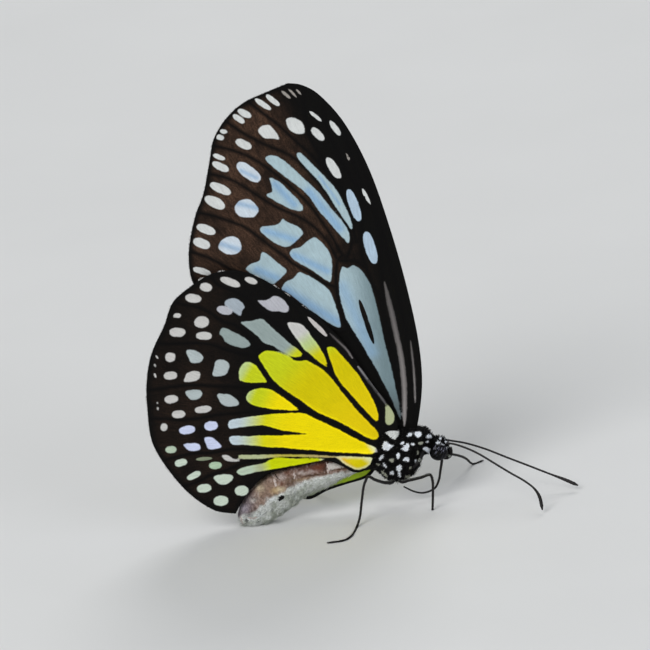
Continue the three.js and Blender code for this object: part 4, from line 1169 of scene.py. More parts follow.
def body_skin():
    """Body skin: dark cuticle under a close layer of flat scales, black with white spots on thorax
    and head, mottled brown above and whitish below on the abdomen. It gives a dull, mealy surface."""
    material, tree = new_material("body_skin")
    mark, tint, ground = (
        add(tree, "Attribute", {"attribute_name": name}) for name in ("mark", "tint", "ground"))
    place = add(tree, "NewGeometry")
    # Single scales are about 0.1 mm.
    grain = add(tree, "TexNoise", inputs={
        "Vector": place, "Scale": FINE / 0.14, "Detail": 3.0, "Roughness": 0.7})
    mottle = add(tree, "TexNoise", inputs={
        "Vector": place, "Scale": FINE / 0.6, "Detail": 3.0, "Roughness": 0.6})
    edge = add(tree, "Math", {"operation": "MULTIPLY_ADD"},
               {0: grain.outputs["Fac"], 1: 0.3, 2: mark.outputs["Fac"]})
    marked = add(tree, "MapRange", {"interpolation_type": "SMOOTHSTEP"}, {
        "Value": edge, "From Min": 0.09, "From Max": 0.22, "To Min": 1.0, "To Max": 0.0})
    colour = add(tree, "Mix", {"data_type": "RGBA"}, {
        0: marked, 6: ground.outputs["Color"], 7: tint.outputs["Color"]})
    shade = add(tree, "Math", {"operation": "MULTIPLY_ADD"}, {0: grain.outputs["Fac"], 1: 0.8, 2: 0.12})
    mottled = add(tree, "Math", {"operation": "MULTIPLY_ADD"}, {0: mottle.outputs["Fac"], 1: 0.8, 2: shade})
    mealy = add(tree, "VectorMath", {"operation": "SCALE"}, {0: colour.outputs[2], "Scale": mottled})
    bump = add(tree, "Bump", inputs={
        "Strength": 0.6, "Distance": 0.05 * MM, "Height": grain.outputs["Fac"]})
    shader = add(tree, "BsdfPrincipled", inputs={
        "Base Color": mealy, "Roughness": 0.78, "IOR": 1.5, "Specular IOR Level": 0.1,
        "Normal": bump})
    add(tree, "OutputMaterial", inputs={0: shader})
    return material


def body_hair(name, roughness, shine):
    """Hair and hair-like scales: thin, dull, a little darker at the root and paler at the tip."""
    material, tree = new_material(name)
    tint = add(tree, "Attribute", {"attribute_name": "tint"})
    along = add(tree, "Attribute", {"attribute_name": "along"})
    place = add(tree, "NewGeometry")
    streak = add(tree, "TexNoise", inputs={"Vector": place, "Scale": FINE / 0.09, "Detail": 2.0})
    shade = add(tree, "Math", {"operation": "MULTIPLY_ADD"}, {0: along.outputs["Fac"], 1: 0.4, 2: 0.55})
    shaded = add(tree, "Math", {"operation": "MULTIPLY_ADD"}, {0: streak.outputs["Fac"], 1: 0.5, 2: shade})
    colour = add(tree, "VectorMath", {"operation": "SCALE"}, {0: tint.outputs["Color"], "Scale": shaded})
    shader = add(tree, "BsdfPrincipled", inputs={
        "Base Color": colour, "Roughness": roughness, "IOR": 1.5, "Specular IOR Level": shine})
    add(tree, "OutputMaterial", inputs={0: shader})
    return material


def place_skin():
    places = SKIN.reshape(-1, 3)
    tip, face = SKIN[0].mean(0), SKIN[-1].mean(0)
    faces = []
    for i in range(ROWS - 1):
        for j in range(AROUND):
            k = (j + 1) % AROUND
            faces.append((i * AROUND + j, (i + 1) * AROUND + j, (i + 1) * AROUND + k, i * AROUND + k))
    first, last = ROWS * AROUND, ROWS * AROUND + 1
    for j in range(AROUND):
        k = (j + 1) % AROUND
        faces.append((first, j, k))
        faces.append((last, (ROWS - 1) * AROUND + k, (ROWS - 1) * AROUND + j))
    everywhere = np.vstack([places, tip, face])
    piece = make_piece("body_skin", everywhere, faces)
    marks, ground = noted_body(everywhere)
    note_values(piece, "mark", marks.mark)
    note_values(piece, "tint", marks.tint)
    note_values(piece, "ground", ground)
    # Flat layout: length along the body by angle, cut under the belly.
    across = (np.arange(AROUND) / AROUND + 0.5) % 1.0
    flat = np.stack([np.repeat(SKIN_ALONG / SKIN_LENGTH, AROUND), np.tile(across, ROWS)], 1)
    flat = np.vstack([flat, (0, 0.5), (1, 0.5)]) * (0.98, 0.5) + 0.01
    lay_out(piece, flat, 0.5)
    finish_piece(piece, body_skin(), "body_scales_black", "thorax", "abdomen", "head")


def skin_at(rows, turns):
    """Place and outward direction on the skin at fractional rows and turns."""
    row = np.clip(rows, 0, ROWS - 1.001)
    i, fi = row.astype(int), (row % 1)[:, None]
    turn = turns % AROUND
    j, fj = turn.astype(int) % AROUND, (turn % 1)[:, None]
    k = (j + 1) % AROUND

    def mixed(field):
        return ((field[i, j] * (1 - fj) + field[i, k] * fj) * (1 - fi)
                + (field[i + 1, j] * (1 - fj) + field[i + 1, k] * fj) * fi)

    return mixed(SKIN), unit(mixed(SKIN_NORMALS))


def hair_roots(low, high, spacing):
    """Jittered, evenly spaced roots on the skin between two lengths along it, as fractional rows and turns."""
    rows, turns = [], []
    for length in np.arange(low, high, spacing):
        row = np.interp(length, SKIN_ALONG, np.arange(ROWS))
        ring = SKIN[int(row)]
        girth = np.linalg.norm(np.roll(ring, -1, 0) - ring, axis=1).sum()
        count = max(3, int(girth / spacing))
        turn = (np.arange(count) + chance.random() + 0.7 * (chance.random(count) - 0.5)) / count * AROUND
        shifted = length + spacing * 0.8 * (chance.random(count) - 0.5)
        rows.append(np.interp(shifted, SKIN_ALONG, np.arange(ROWS)))
        turns.append(turn)
    return np.concatenate(rows), np.concatenate(turns)


# How deep the roots of hairs and scales sit in the skin.
ROOT_DEPTH = 0.03


def tufts(roots, outward, lie, length, width, thick, lift, curl, sections):
    """Thin tapering blades: points, faces and how far along its blade each point is."""
    lie = laid_on(lie, outward)
    side = np.cross(outward, lie)
    points, along = [], []
    for share in np.linspace(0, 1, sections + 1)[:-1]:
        rise = length * (np.sin(lift) * share - curl * share ** 2)
        run = length * np.cos(lift) * share
        middle = roots + lie * run[:, None] + outward * (rise - ROOT_DEPTH)[:, None]
        # A blade swells from its root to about half way, and narrows from there.
        full = 0.55 + 0.45 * math.sin(math.pi * min(1.0, share * 1.3 + 0.15)) if share < 0.6 else 0.62
        for across, over in ((1, 0), (0, 1), (-1, 0), (0, -1)):
            points.append(middle + side * (across * full * width / 2)[:, None]
                          + outward * (over * full * thick / 2)[:, None])
            along.append(np.full(len(roots), share))
    rise = length * (np.sin(lift) - curl) - ROOT_DEPTH
    points.append(roots + lie * (length * np.cos(lift))[:, None] + outward * rise[:, None])
    along.append(np.ones(len(roots)))
    blade = [(3, 2, 1, 0)]
    for low in range(0, 4 * (sections - 1), 4):
        blade += [(low + c, low + (c + 1) % 4, low + 4 + (c + 1) % 4, low + 4 + c) for c in range(4)]
    last = 4 * (sections - 1)
    blade += [(last + c, last + (c + 1) % 4, last + 4) for c in range(4)]
    each = blade_points(sections)
    faces = [tuple(start + v for v in face) for start in range(0, each * len(roots), each) for face in blade]
    return np.stack(points, 1).reshape(-1, 3), faces, np.stack(along, 1).ravel()


def blade_points(sections):
    """Points in one blade: four to a ring, and the tip."""
    return 4 * sections + 1


# Half the width of a blade's patch in the flat layout.
PATCH = 0.0015


def blade_layout(root_spots, sections):
    """A patch of the flat layout for each blade, at its root's place."""
    corners = [(c * 0.5 - 0.5, s / sections * 2 - 1) for s in range(sections) for c in (2, 1, 0, 1)] + [(0, 1)]
    corners = np.array(corners) * PATCH
    return (root_spots[:, None, :] + corners[None]).reshape(-1, 2)


# Share of the tufts of thorax and head that are painted grey, a highlight scattered over the black coat, how
# many times as bright as the skin they are, and how bright the black ones are.
GREY_GLINT_SHARE = 0.12
GREY_GLINT_HAIR = 9.0
BLACK_HAIR = 0.6


def coat_piece(name, low, high, spacing, vary, manner, sections, keep, material, slot):
    """Tufts rooted between two lengths along the skin, each with the colour of the place it covers."""
    rows, turns = hair_roots(low, high, spacing)
    roots, outward = skin_at(rows, turns)
    kept = keep(roots)
    rows, turns, roots, outward = rows[kept], turns[kept], roots[kept], outward[kept]
    lie, length, width, thick, lift, curl = manner(roots, outward)
    lie = laid_on(lie, outward)
    # A tuft takes the colour of the place that its outer half covers.
    reached = 0.6 * length
    marks, ground = noted_body(roots + lie * (reached * np.cos(lift))[:, None]
                               + outward * (reached * np.sin(lift))[:, None])
    count = len(roots)
    marked = marks.mark + 0.03 * chance.normal(size=count) < -0.02
    hairy = roots[:, 0] > RINGS_BEGIN
    # Some black tufts are painted grey as scattered highlight.
    glint_greyed = np.where(hairy, np.where(chance.random(count) < GREY_GLINT_SHARE, GREY_GLINT_HAIR, BLACK_HAIR), 1.0)
    tint = np.where(marked[:, None], marks.tint, ground * glint_greyed[:, None])
    tint = tint * varied(count, 1 - vary, 1 + vary)[:, None]
    # Pale tufts are shorter and lie flatter, so they catch the light.
    length, lift = np.where(marked, 0.9, 1.0) * length, np.where(marked, 0.65, 1.0) * lift
    points, faces, along = tufts(roots, outward, lie, length, width, thick, lift, curl, sections)
    points[:, 2] = np.maximum(points[:, 2], FLOOR_CLEARANCE / 2)
    piece = make_piece(name, points, faces)
    note_values(piece, "tint", np.repeat(tint, blade_points(sections), 0))
    note_values(piece, "along", along)
    reached = np.interp(rows, np.arange(ROWS), SKIN_ALONG)
    spots = np.stack([(reached - low) / (high - low), (turns / AROUND + 0.5) % 1.0], 1) * 0.96 + 0.02
    lay_out(piece, blade_layout(spots, sections))
    finish_piece(piece, material, slot)


# How the tufts of each coat stand: direction, length, width, thickness, lift in radians and curl.

def thorax_manner(roots, outward):
    count = len(roots)
    lie = np.array([-1.0, 0.0, -0.35]) + 0.5 * (chance.random((count, 3)) - 0.5)
    stray = chance.random(count) < 0.18
    under = smooth_step(0.2, 0.8, -outward[:, 2])
    length = varied(count, 0.2, 0.36) + 0.18 * stray + 0.14 * under
    width = varied(count, 0.08, 0.13) - 0.02 * stray
    thick = varied(count, 0.03, 0.05)
    lift = varied(count, 0.3, 0.62) + 0.4 * stray + 0.3 * under
    return lie, length, width, thick, lift, varied(count, 0.1, 0.25)


def head_manner(roots, outward):
    count = len(roots)
    crown = smooth_step(-0.3, 0.6, outward[:, 2] + 0.5 * outward[:, 0])
    stray = chance.random(count) < 0.4
    # The hair of the brow and of the collar stands up and forward, longer than the rest.
    brow = smooth_step(0.1, 0.6, outward[:, 0]) * smooth_step(-0.5, 0.2, outward[:, 2])
    lie = np.array([-0.3, 0.0, 0.7]) + brow[:, None] * (0.7, 0.0, 0.2) + 0.9 * (chance.random((count, 3)) - 0.5)
    length = varied(count, 0.22, 0.34) + crown * varied(count, 0.02, 0.16) + brow * varied(count, 0.0, 0.12)
    width = varied(count, 0.06, 0.1)
    thick = varied(count, 0.03, 0.045)
    lift = varied(count, 0.4, 0.65) + stray * (0.3 + 0.35 * crown)
    return lie, length, width, thick, lift, varied(count, 0.0, 0.15)


def abdomen_manner(roots, outward):
    count = len(roots)
    lie = np.array([-1.0, 0.0, -0.25]) + 0.5 * (chance.random((count, 3)) - 0.5)
    x, height = side_places(roots).T
    furry = smooth_step(0.1, 0.7, np.interp(x, *np.array(BELLY_LINE).T) - height)
    lumps = 1 + 1.5 * furry * mottling(roots + 60, 0.6)
    length = (varied(count, 0.2, 0.3) + furry * varied(count, 0.02, 0.24)) * lumps
    width = varied(count, 0.08, 0.14) - 0.03 * furry
    thick = varied(count, 0.02, 0.035)
    lift = varied(count, 0.15, 0.4) + 0.35 * furry
    return lie, length, width, thick, lift, varied(count, 0.05, 0.15)


# Roots that each coat keeps: off the floor, and outside the eyes.

def off_floor(roots):
    return roots[:, 2] > 0.05


def beside_eye(roots):
    return np.linalg.norm((np.abs(roots) - EYE_AT) / (EYE_HALF + EYE_ROOM), axis=1) > 1


def along_at(x):
    """Length along the skin where its rings reach x."""
    return np.interp(x, SKIN[:, :, 0].mean(1), SKIN_ALONG)


WAIST, NAPE = along_at(15.5), along_at(20.9)
place_skin()
black_hair = body_hair("black_hair", 0.6, 0.12)
brown_scales = body_hair("abdomen_scales", 0.75, 0.2)
coat_piece("thorax_coat", low=WAIST - 0.2, high=NAPE, spacing=0.105, vary=0.15, manner=thorax_manner,
           sections=2, keep=off_floor, material=black_hair, slot="body_scales_black")
coat_piece("head_coat", low=NAPE - 0.1, high=SKIN_LENGTH - 0.05, spacing=0.085, vary=0.15, manner=head_manner,
           sections=3, keep=beside_eye, material=black_hair, slot="body_scales_black")
coat_piece("abdomen_coat", low=0.15, high=WAIST, spacing=0.13, vary=0.3, manner=abdomen_manner,
           sections=2, keep=off_floor, material=brown_scales, slot="body_scales_brown")


# ---- Fringes of the wings ----

# Space between the fringe's scales, and how far their roots lie inside the wing's edge.
FRINGE_SPACE = 0.075
FRINGE_ROOT = 0.16
# Long narrow scales that stand out past the membrane's edge, dull black, with tufts of white ones
# midway between the veins.
fringe_scales = body_hair("fringe_scales", 0.7, 0.15)


def build_fringe(name, side, margin, root, veins, offset_of, lowering):
    """A row of scales along a wing's margin."""
    line = evenly(smooth_line(margin, 6), FRINGE_SPACE)
    way = np.gradient(line, axis=0)
    outward = unit(np.stack([way[:, 1], -way[:, 0]], 1))
    outward *= np.sign(np.sum(outward * (line - root), 1).sum())
    count = len(line)
    gap = np.full(count, FAR)
    for vein in veins.values():
        gap = np.minimum(gap, np.linalg.norm(line - vein[-1], axis=1))
    white = smooth_step(0.75, 1.0, gap) * smooth_step(1.7, 1.45, gap)
    white *= chance.random(count) < 0.8
    roots = line - outward * FRINGE_ROOT
    tips = line + outward * (0.1 + 0.09 * white)[:, None] + 0.1 * (chance.random((count, 2)) - 0.5)
    if lowering:
        roots, tips = lowered(roots, *lowering), lowered(tips, *lowering)
    middle = offset_of(roots)
    start = np.stack([roots[:, 0], side * (middle + RIM_HALF), roots[:, 1]], 1)
    lie = np.stack([tips[:, 0] - roots[:, 0], np.zeros(count), tips[:, 1] - roots[:, 1]], 1)
    over = np.tile([0.0, float(side), 0.0], (count, 1))
    points, faces, along = tufts(
        start, over, lie, length=np.linalg.norm(lie, axis=1) * varied(count, 0.8, 1.05),
        width=varied(count, 0.07, 0.11), thick=np.full(count, 0.03), lift=np.full(count, 0.0),
        curl=np.full(count, 0.1), sections=2)
    piece = make_piece(name, points, faces)
    black, pale = np.array(linear(TINTS["soot"])), np.array(linear(TINTS["chalk"]))
    tint = blended(np.tile(black, (count, 1)), pale, white)
    note_values(piece, "tint", np.repeat(tint, blade_points(2), 0))
    note_values(piece, "along", along)
    spots = np.stack([np.arange(count) / count, np.full(count, 0.5)], 1) * 0.96 + 0.02
    lay_out(piece, blade_layout(spots, 2))
    finish_piece(piece, fringe_scales, "wing_dark")


for label, side in SIDES:
    build_fringe(f"forewing_{label}_fringe", side, FOREWING_EDGES[1], FOREWING_ROOT, FOREWING_VEINS,
                 forewing_offset, FOREWING_SET[label])
    build_fringe(f"hindwing_{label}_fringe", side, HINDWING_OUTER_EDGES[0][5:] + HINDWING_OUTER_EDGES[1][1:],
                 HINDWING_ROOT, HINDWING_VEINS, hindwing_offset, HINDWING_SET[label])


# ---- Eyes, limbs, feelers and tongue ----

def limb_line(points, steps=14):
    """Points on a curve that keeps its joints tight, and each one's position counted in joints."""
    p = np.asarray(points, float)
    padded = np.vstack([2 * p[0] - p[1], p, 2 * p[-1] - p[-2]])
    before, start, end, after = padded[:-3], padded[1:-2], padded[2:-1], padded[3:]
    gap = np.sqrt(np.linalg.norm(np.diff(padded, axis=0), axis=1))[:, None]
    first, own, last = gap[:-2], gap[1:-1], gap[2:]
    leave = ((start - before) / first - (end - before) / (first + own) + (end - start) / own) * own
    arrive = ((end - start) / own - (after - start) / (own + last) + (after - end) / last) * own
    t = (np.arange(steps) / steps)[:, None, None]
    curve = ((2 * t ** 3 - 3 * t ** 2 + 1) * start + (t ** 3 - 2 * t ** 2 + t) * leave
             + (3 * t ** 2 - 2 * t ** 3) * end + (t ** 3 - t ** 2) * arrive)
    joints = (np.arange(len(p) - 1) + t[:, :, 0]).T.ravel()
    return np.vstack([curve.transpose(1, 0, 2).reshape(-1, 3), p[-1:]]), np.append(joints, len(p) - 1)


# Share of the flat layout's height that one round of a limb takes.
ROUND = 0.8


class Tube:
    """A bent round limb: rings of points along a line, with rounded ends."""

    def __init__(self, line, radii, sides=12, squash=0.0):
        self.way = unit(np.gradient(line, axis=0))
        side = np.cross(self.way[0], (0.0, 1.0, 0.0))
        sides_out = []
        for heading in self.way:
            side = side - heading * (side @ heading)
            side /= np.linalg.norm(side)
            sides_out.append(side)
        across = np.array(sides_out)
        over = np.cross(self.way, across)
        self.sides, self.line, self.radii = sides, line, radii
        angle = np.arange(sides) / sides * 2 * math.pi
        self.outward = (across[:, None] * np.cos(angle)[:, None] + over[:, None] * np.sin(angle)[:, None])
        full = radii[:, None] * (1 + squash * np.cos(2 * angle))
        rings = line[:, None] + self.outward * full[:, :, None]
        ends = [line[0] - self.way[0] * radii[0] * 0.6, line[-1] + self.way[-1] * radii[-1] * 0.6]
        self.points = np.vstack([rings.reshape(-1, 3), ends])
        self.faces = tube_faces(len(line), sides)
        share = np.linspace(0.02, 0.98, len(line))
        flat = np.stack([np.repeat(share, sides), np.tile(angle / (2 * math.pi), len(line)) * ROUND + 0.02], 1)
        self.flat = np.vstack([flat, (0.01, 0.42), (0.99, 0.42)])

    def part(self):
        return self.points, self.faces, self.flat

    def bristles(self, rows, per_row, length, width, lift):
        """Short bristles that point along the limb: points, faces and flat layout."""
        row = np.repeat(rows, per_row)
        turn = chance.random(len(row)) * self.sides
        j = turn.astype(int) % self.sides
        roots = self.line[row] + self.outward[row, j] * self.radii[row][:, None] * 0.95
        count = len(row)
        lie = self.way[row] + 0.15 * (chance.random((count, 3)) - 0.5)
        points, faces, _ = tufts(
            roots, self.outward[row, j], lie, length=varied(count, 0.7 * length, length),
            width=np.full(count, width), thick=np.full(count, width * 0.6),
            lift=varied(count, 0.7 * lift, lift), curl=np.full(count, 0.05), sections=2)
        spots = np.stack([0.02 + 0.96 * row / (len(self.line) - 1), 0.02 + ROUND * j / self.sides], 1)
        return points, faces, blade_layout(spots, 2)


def joined(*parts):
    """One set of points, faces and flat layout from several."""
    points, faces, flats, count = [], [], [], 0
    for p, f, flat in parts:
        points.append(p)
        faces += [tuple(v + count for v in face) for face in f]
        flats.append(flat)
        count += len(p)
    return np.vstack(points), faces, np.vstack(flats)


def limb_piece(name, parts, slot, node, pale=()):
    """One piece from a tube and its bristles. Pale is how whitish the first points are, 0 to 1; on the thighs'
    tops it is a painted highlight.
    """
    points, faces, flat = joined(*parts)
    points[:, 2] = np.maximum(points[:, 2], FLOOR_CLEARANCE / 2)
    piece = make_piece(name, points, faces)
    paleness = np.zeros(len(points))
    paleness[:len(pale)] = pale
    note_values(piece, "pale", paleness)
    lay_out(piece, flat, ROUND)
    finish_piece(piece, cuticle, slot, node)


def leg_cuticle():
    """Leg and feeler: hard black cuticle thinly covered with fine black scales, and a sprinkling of whitish
    ones on the thighs, where the whitish on top of the thighs is a painted highlight. It gives a soft satin
    shine that breaks up at the joints."""
    material, tree = new_material("leg_cuticle")
    pale = add(tree, "Attribute", {"attribute_name": "pale"})
    place = add(tree, "NewGeometry")
    grain = add(tree, "TexNoise", inputs={
        "Vector": place, "Scale": FINE / 0.08, "Detail": 2.0, "Roughness": 0.6})
    patchy = add(tree, "TexNoise", inputs={"Vector": place, "Scale": FINE / 0.5, "Detail": 2.0})
    dark = add(tree, "Mix", {"data_type": "RGBA"}, {
        0: patchy.outputs["Fac"], 6: rgba("#070606"), 7: rgba("#1a1412")})
    grained_pale_and_highlight = add(tree, "Math", {"operation": "MULTIPLY"}, {0: pale.outputs["Fac"], 1: grain.outputs["Fac"]})
    pale_and_highlight_share = add(tree, "MapRange", inputs={"Value": grained_pale_and_highlight, "From Min": 0.32, "From Max": 0.52})
    colour = add(tree, "Mix", {"data_type": "RGBA"}, {0: pale_and_highlight_share, 6: dark.outputs[2], 7: rgba("#aeb3a8")})
    bump = add(tree, "Bump", inputs={
        "Strength": 0.5, "Distance": 0.03 * MM, "Height": grain.outputs["Fac"]})
    shader = add(tree, "BsdfPrincipled", inputs={
        "Base Color": colour.outputs[2], "Roughness": 0.45, "IOR": 1.54, "Specular IOR Level": 0.25,
        "Normal": bump})
    add(tree, "OutputMaterial", inputs={0: shader})
    return material


def eye_facets():
    """Compound eye: thousands of clear lenses over a dark backing, glossy as wet ink, with pale slanting
    streaks of painted reflection on its upper half. The lenses are about 0.025 mm, and are drawn three times as
    coarse so that they show."""
    material, tree = new_material("eye_facets")
    place = add(tree, "NewGeometry")
    lenses = add(tree, "TexVoronoi", inputs={"Vector": place, "Scale": FINE / 0.075, "Randomness": 0.35})
    # Painted reflection: slanting pale streaks, about 0.1 mm wide and 0.7 mm long, on the upper half.
    across = add(tree, "VectorMath", {"operation": "DOT_PRODUCT"}, {
        0: place, 1: (0.75 * FINE / 0.11, 0, -0.66 * FINE / 0.11)})
    along = add(tree, "VectorMath", {"operation": "DOT_PRODUCT"}, {
        0: place, 1: (0.66 * FINE / 0.7, FINE / 0.7, 0.75 * FINE / 0.7)})
    slanted = add(tree, "CombineXYZ", inputs={0: across.outputs["Value"], 1: along.outputs["Value"]})
    cloud = add(tree, "TexNoise", inputs={"Vector": slanted, "Scale": 1.0, "Detail": 2.0})
    streak = add(tree, "MapRange", inputs={
        "Value": cloud.outputs["Fac"], "From Min": 0.55, "From Max": 0.68})
    heights = add(tree, "SeparateXYZ", inputs={0: place})
    upper = add(tree, "MapRange", inputs={
        "Value": heights.outputs["Z"], "From Min": 5.3 * MM, "From Max": 6.3 * MM, "To Min": 0.06})
    glint_streaks = add(tree, "Math", {"operation": "MULTIPLY"}, {0: streak, 1: upper})
    colour = add(tree, "Mix", {"data_type": "RGBA"}, {0: glint_streaks, 6: rgba("#030304"), 7: rgba("#7c7c8b")})
    bump = add(tree, "Bump", {"invert": True}, {
        "Strength": 0.28, "Distance": 0.012 * MM, "Height": lenses.outputs["Distance"]})
    shader = add(tree, "BsdfPrincipled", inputs={
        "Base Color": colour.outputs[2], "Roughness": 0.14, "IOR": 1.5, "Specular IOR Level": 0.13,
        "Normal": bump})
    add(tree, "OutputMaterial", inputs={0: shader})
    return material


# The eye's dome: its place and half lengths, fuller than an oval, and rings and points in a ring.
DOME_AT = EYE_AT + (0.07, 0, -0.1)
DOME_HALF = EYE_HALF * (1.03, 0.965, 0.93)
DOME_FULLNESS = 0.92
DOME_BACK = 0.36
EYE_RINGS, EYE_AROUND = 30, 56


def build_eye(label, side, material):
    """A domed eye, flatter at its rim, that bulges from the side of the head."""
    turn = np.linspace(0, math.pi * 0.62, EYE_RINGS + 1)[1:, None]
    angle = np.arange(EYE_AROUND)[None] / EYE_AROUND * 2 * math.pi
    fullness = np.sin(turn) ** DOME_FULLNESS
    long, deep, tall = DOME_HALF
    dome = np.stack([DOME_AT[0] + long * fullness * np.cos(angle),
                     DOME_AT[1] + deep * np.cos(turn) * np.ones_like(angle),
                     DOME_AT[2] + tall * fullness * np.sin(angle)], 2)
    points = np.vstack([dome.reshape(-1, 3), DOME_AT + (0, deep, 0), DOME_AT - (0, deep * DOME_BACK, 0)])
    points[:, 1] *= side
    faces = tube_faces(EYE_RINGS, EYE_AROUND)
    if side > 0:
        faces = [face[::-1] for face in faces]
    out = turn / turn[-1] * 0.45
    flat = np.stack([0.5 + out * np.cos(angle), 0.5 + out * np.sin(angle)], 2).reshape(-1, 2)
    piece = make_piece(f"eye_{label}_dome", points, faces)
    lay_out(piece, np.vstack([flat, (0.5, 0.5), (0.5, 0.985)]))
    finish_piece(piece, material, "eye", f"eye_{label}")


FOOT = 0.125
# Each leg: points along it, and which of them are the knee and the ankle.
LEGS = {
    "midleg_right": (
        [(17.9, -1.0, 3.0), (18.7, -1.4, 3.1), (20.1, -2.4, 3.6), (21.2, -3.1, 4.0), (21.35, -3.3, 3.4),
         (21.2, -3.4, 1.9), (20.95, -3.5, 0.3), (20.92, -3.52, 0.04)], 3, 6),
    "hindleg_right": (
        [(16.9, -1.0, 3.1), (16.2, -1.7, 3.3), (15.0, -2.9, 4.3), (14.3, -3.6, 5.0), (13.8, -4.0, 4.4),
         (13.2, -4.6, 2.5), (12.8, -4.9, 0.95), (12.3, -5.7, FOOT), (11.5, -8.4, FOOT), (10.7, -9.35, FOOT),
         (8.95, -9.45, FOOT)], 3, 7),
    "midleg_left": (
        [(17.9, 1.0, 3.0), (18.9, 1.6, 3.3), (20.5, 2.7, 4.5), (22.2, 3.8, 4.5), (23.3, 4.5, 3.5),
         (24.7, 6.0, 2.4), (25.5, 7.6, 1.3), (26.2, 8.8, FOOT), (27.25, 9.38, FOOT)], 3, 6.5),
    "hindleg_left": (
        [(16.9, 1.0, 3.1), (16.2, 2.1, 2.9), (15.0, 3.2, 3.8), (13.7, 3.9, 4.8), (12.9, 4.2, 4.2),
         (10.4, 5.6, 2.1), (8.1, 6.7, 0.4), (6.8, 8.0, FOOT), (5.5, 9.35, FOOT)], 3, 6),
}
HIP, THIGH, SHIN, TOES = 0.34, 0.185, 0.15, 0.115
# The hips leave the breast at these places, and bring one more point to each leg's line.
HIPS = {"midleg": (17.75, 0.7, 4.1), "hindleg": (17.05, 0.7, 4.1)}
TOE_JOINTS = 5


def mirrored(points, side):
    return [(x, y * side, z) for x, y, z in points]


def claws(end, heading):
    """Two small blades that fork from the end of a foot: points, faces and flat layout."""
    level = abs(heading[0, 2]) < 0.7
    spread = np.cross(heading, (0, 0, 1.0)) if level else np.array([[1.0, 0, 0]])
    ahead = heading if level else np.array([[0.0, -1.0, 0.0]])
    points, faces, _ = tufts(
        np.repeat(end, 2, 0) + (0, 0, 0.02), np.array([[0, 0, 1.0]] * 2),
        np.vstack([ahead + 0.5 * spread, ahead - 0.5 * spread]), length=np.full(2, 0.3), width=np.full(2, 0.09),
        thick=np.full(2, 0.08), lift=np.full(2, 0.5), curl=np.full(2, 0.55), sections=3)
    return points, faces, blade_layout(np.array([[0.985, 0.9], [0.985, 0.95]]), 3)


def build_leg(name, points, knee, ankle):
    hip = HIPS[name.split("_")[0]]
    points = mirrored([hip], np.sign(points[0][1])) + points
    knee, ankle, last = knee + 1, ankle + 1, len(points) - 1
    line, joints = limb_line(points)
    radii = np.interp(
        joints, [0, 0.8, 1.15, 2.1, knee - 0.4, knee, knee + 0.25, ankle, last],
        [HIP, HIP * 0.9, HIP * 0.75, THIGH, THIGH * 0.9, SHIN * 1.15, SHIN, SHIN * 0.85, TOES * 0.85])
    toes = smooth_step(ankle - 0.05, ankle + 0.05, joints)
    toe = (joints - ankle) / (last - ankle) * TOE_JOINTS
    radii *= 1 - 0.22 * toes * np.exp(-((toe - np.round(toe)) / 0.12) ** 2)
    radii *= 1 - 0.2 * np.exp(-((joints - knee - 0.12) / 0.08) ** 2)
    tube = Tube(line, radii)
    # Whitish on top of the thighs, a painted highlight, and whitish scales on the hips all round.
    thigh_highlight_hip_dust = np.repeat((joints < knee) * 0.75, tube.sides) * np.clip(tube.outward[:, :, 2].ravel() * 1.6, 0, 1)
    thigh_highlight_hip_dust = np.maximum(thigh_highlight_hip_dust, np.repeat(0.85 * (joints < 0.9), tube.sides))
    on_shin = np.flatnonzero(joints > knee + 0.2)
    on_thigh = np.flatnonzero((joints > 0.3) & (joints < knee))
    shin_hair = tube.bristles(on_shin, per_row=4, length=0.26, width=0.035, lift=0.6)
    thigh_hair = tube.bristles(on_thigh, per_row=5, length=0.28, width=0.05, lift=0.35)
    limb_piece(f"{name}_jointed", [tube.part(), shin_hair, thigh_hair, claws(line[-1:], tube.way[-1:])],
               "chitin_black", name, thigh_highlight_hip_dust)


ANTENNAE = {
    "antenna_left": [
        (23.2, 0.3, 6.7), (24.05, 0.1, 6.5), (25.6, -0.1, 6.05), (27.75, -0.5, 5.15), (29.8, -1.0, 4.1),
        (32.05, -1.6, 3.0), (34.05, -2.4, 2.1), (36.0, -3.2, 1.25), (37.3, -3.9, 0.65)],
    "antenna_right": [
        (23.2, -0.3, 6.35), (24.0, -0.55, 6.4), (25.5, -1.3, 5.95), (26.85, -2.3, 5.4), (28.45, -3.6, 4.5),
        (30.0, -4.95, 3.65), (31.45, -6.3, 2.95), (32.4, -7.4, 2.3), (32.85, -8.4, 1.6), (32.95, -9.4, 0.45)],
}
# Radius of the shaft, of the club and of its tip.
FEELER, CLUB, CLUB_TIP = 0.115, 0.2, 0.1
FEELER_JOINTS = 42


def build_antenna(name, points):
    line, _ = limb_line(points, 34)
    line = evenly(line, 0.05)
    share = np.linspace(0, 1, len(line))
    club, tip = smooth_step(0.78, 0.93, share), smooth_step(0.965, 1.0, share)
    radii = FEELER + (CLUB - FEELER) * club - (CLUB - CLUB_TIP) * tip
    radii *= 1 + 0.35 * np.exp(-(share / 0.02) ** 2)
    # Each joint is a little wider at its far end.
    radii *= 0.94 + 0.12 * ((share * FEELER_JOINTS) % 1)
    tube = Tube(line, radii, 10)
    limb_piece(f"{name}_jointed", [tube.part()], "chitin_black", name)


PROBOSCIS = [
    (22.85, 0, 5.2), (22.7, 0, 4.3), (22.4, 0, 3.2), (22.1, 0, 2.15), (21.5, 0, 1.2), (20.2, 0, 0.85),
    (19.2, 0, 1.15), (18.1, 0, 1.9)]
PALP = [(22.9, 0.4, 4.85), (23.45, 0.42, 4.85), (23.8, 0.42, 5.15), (23.9, 0.4, 5.5)]
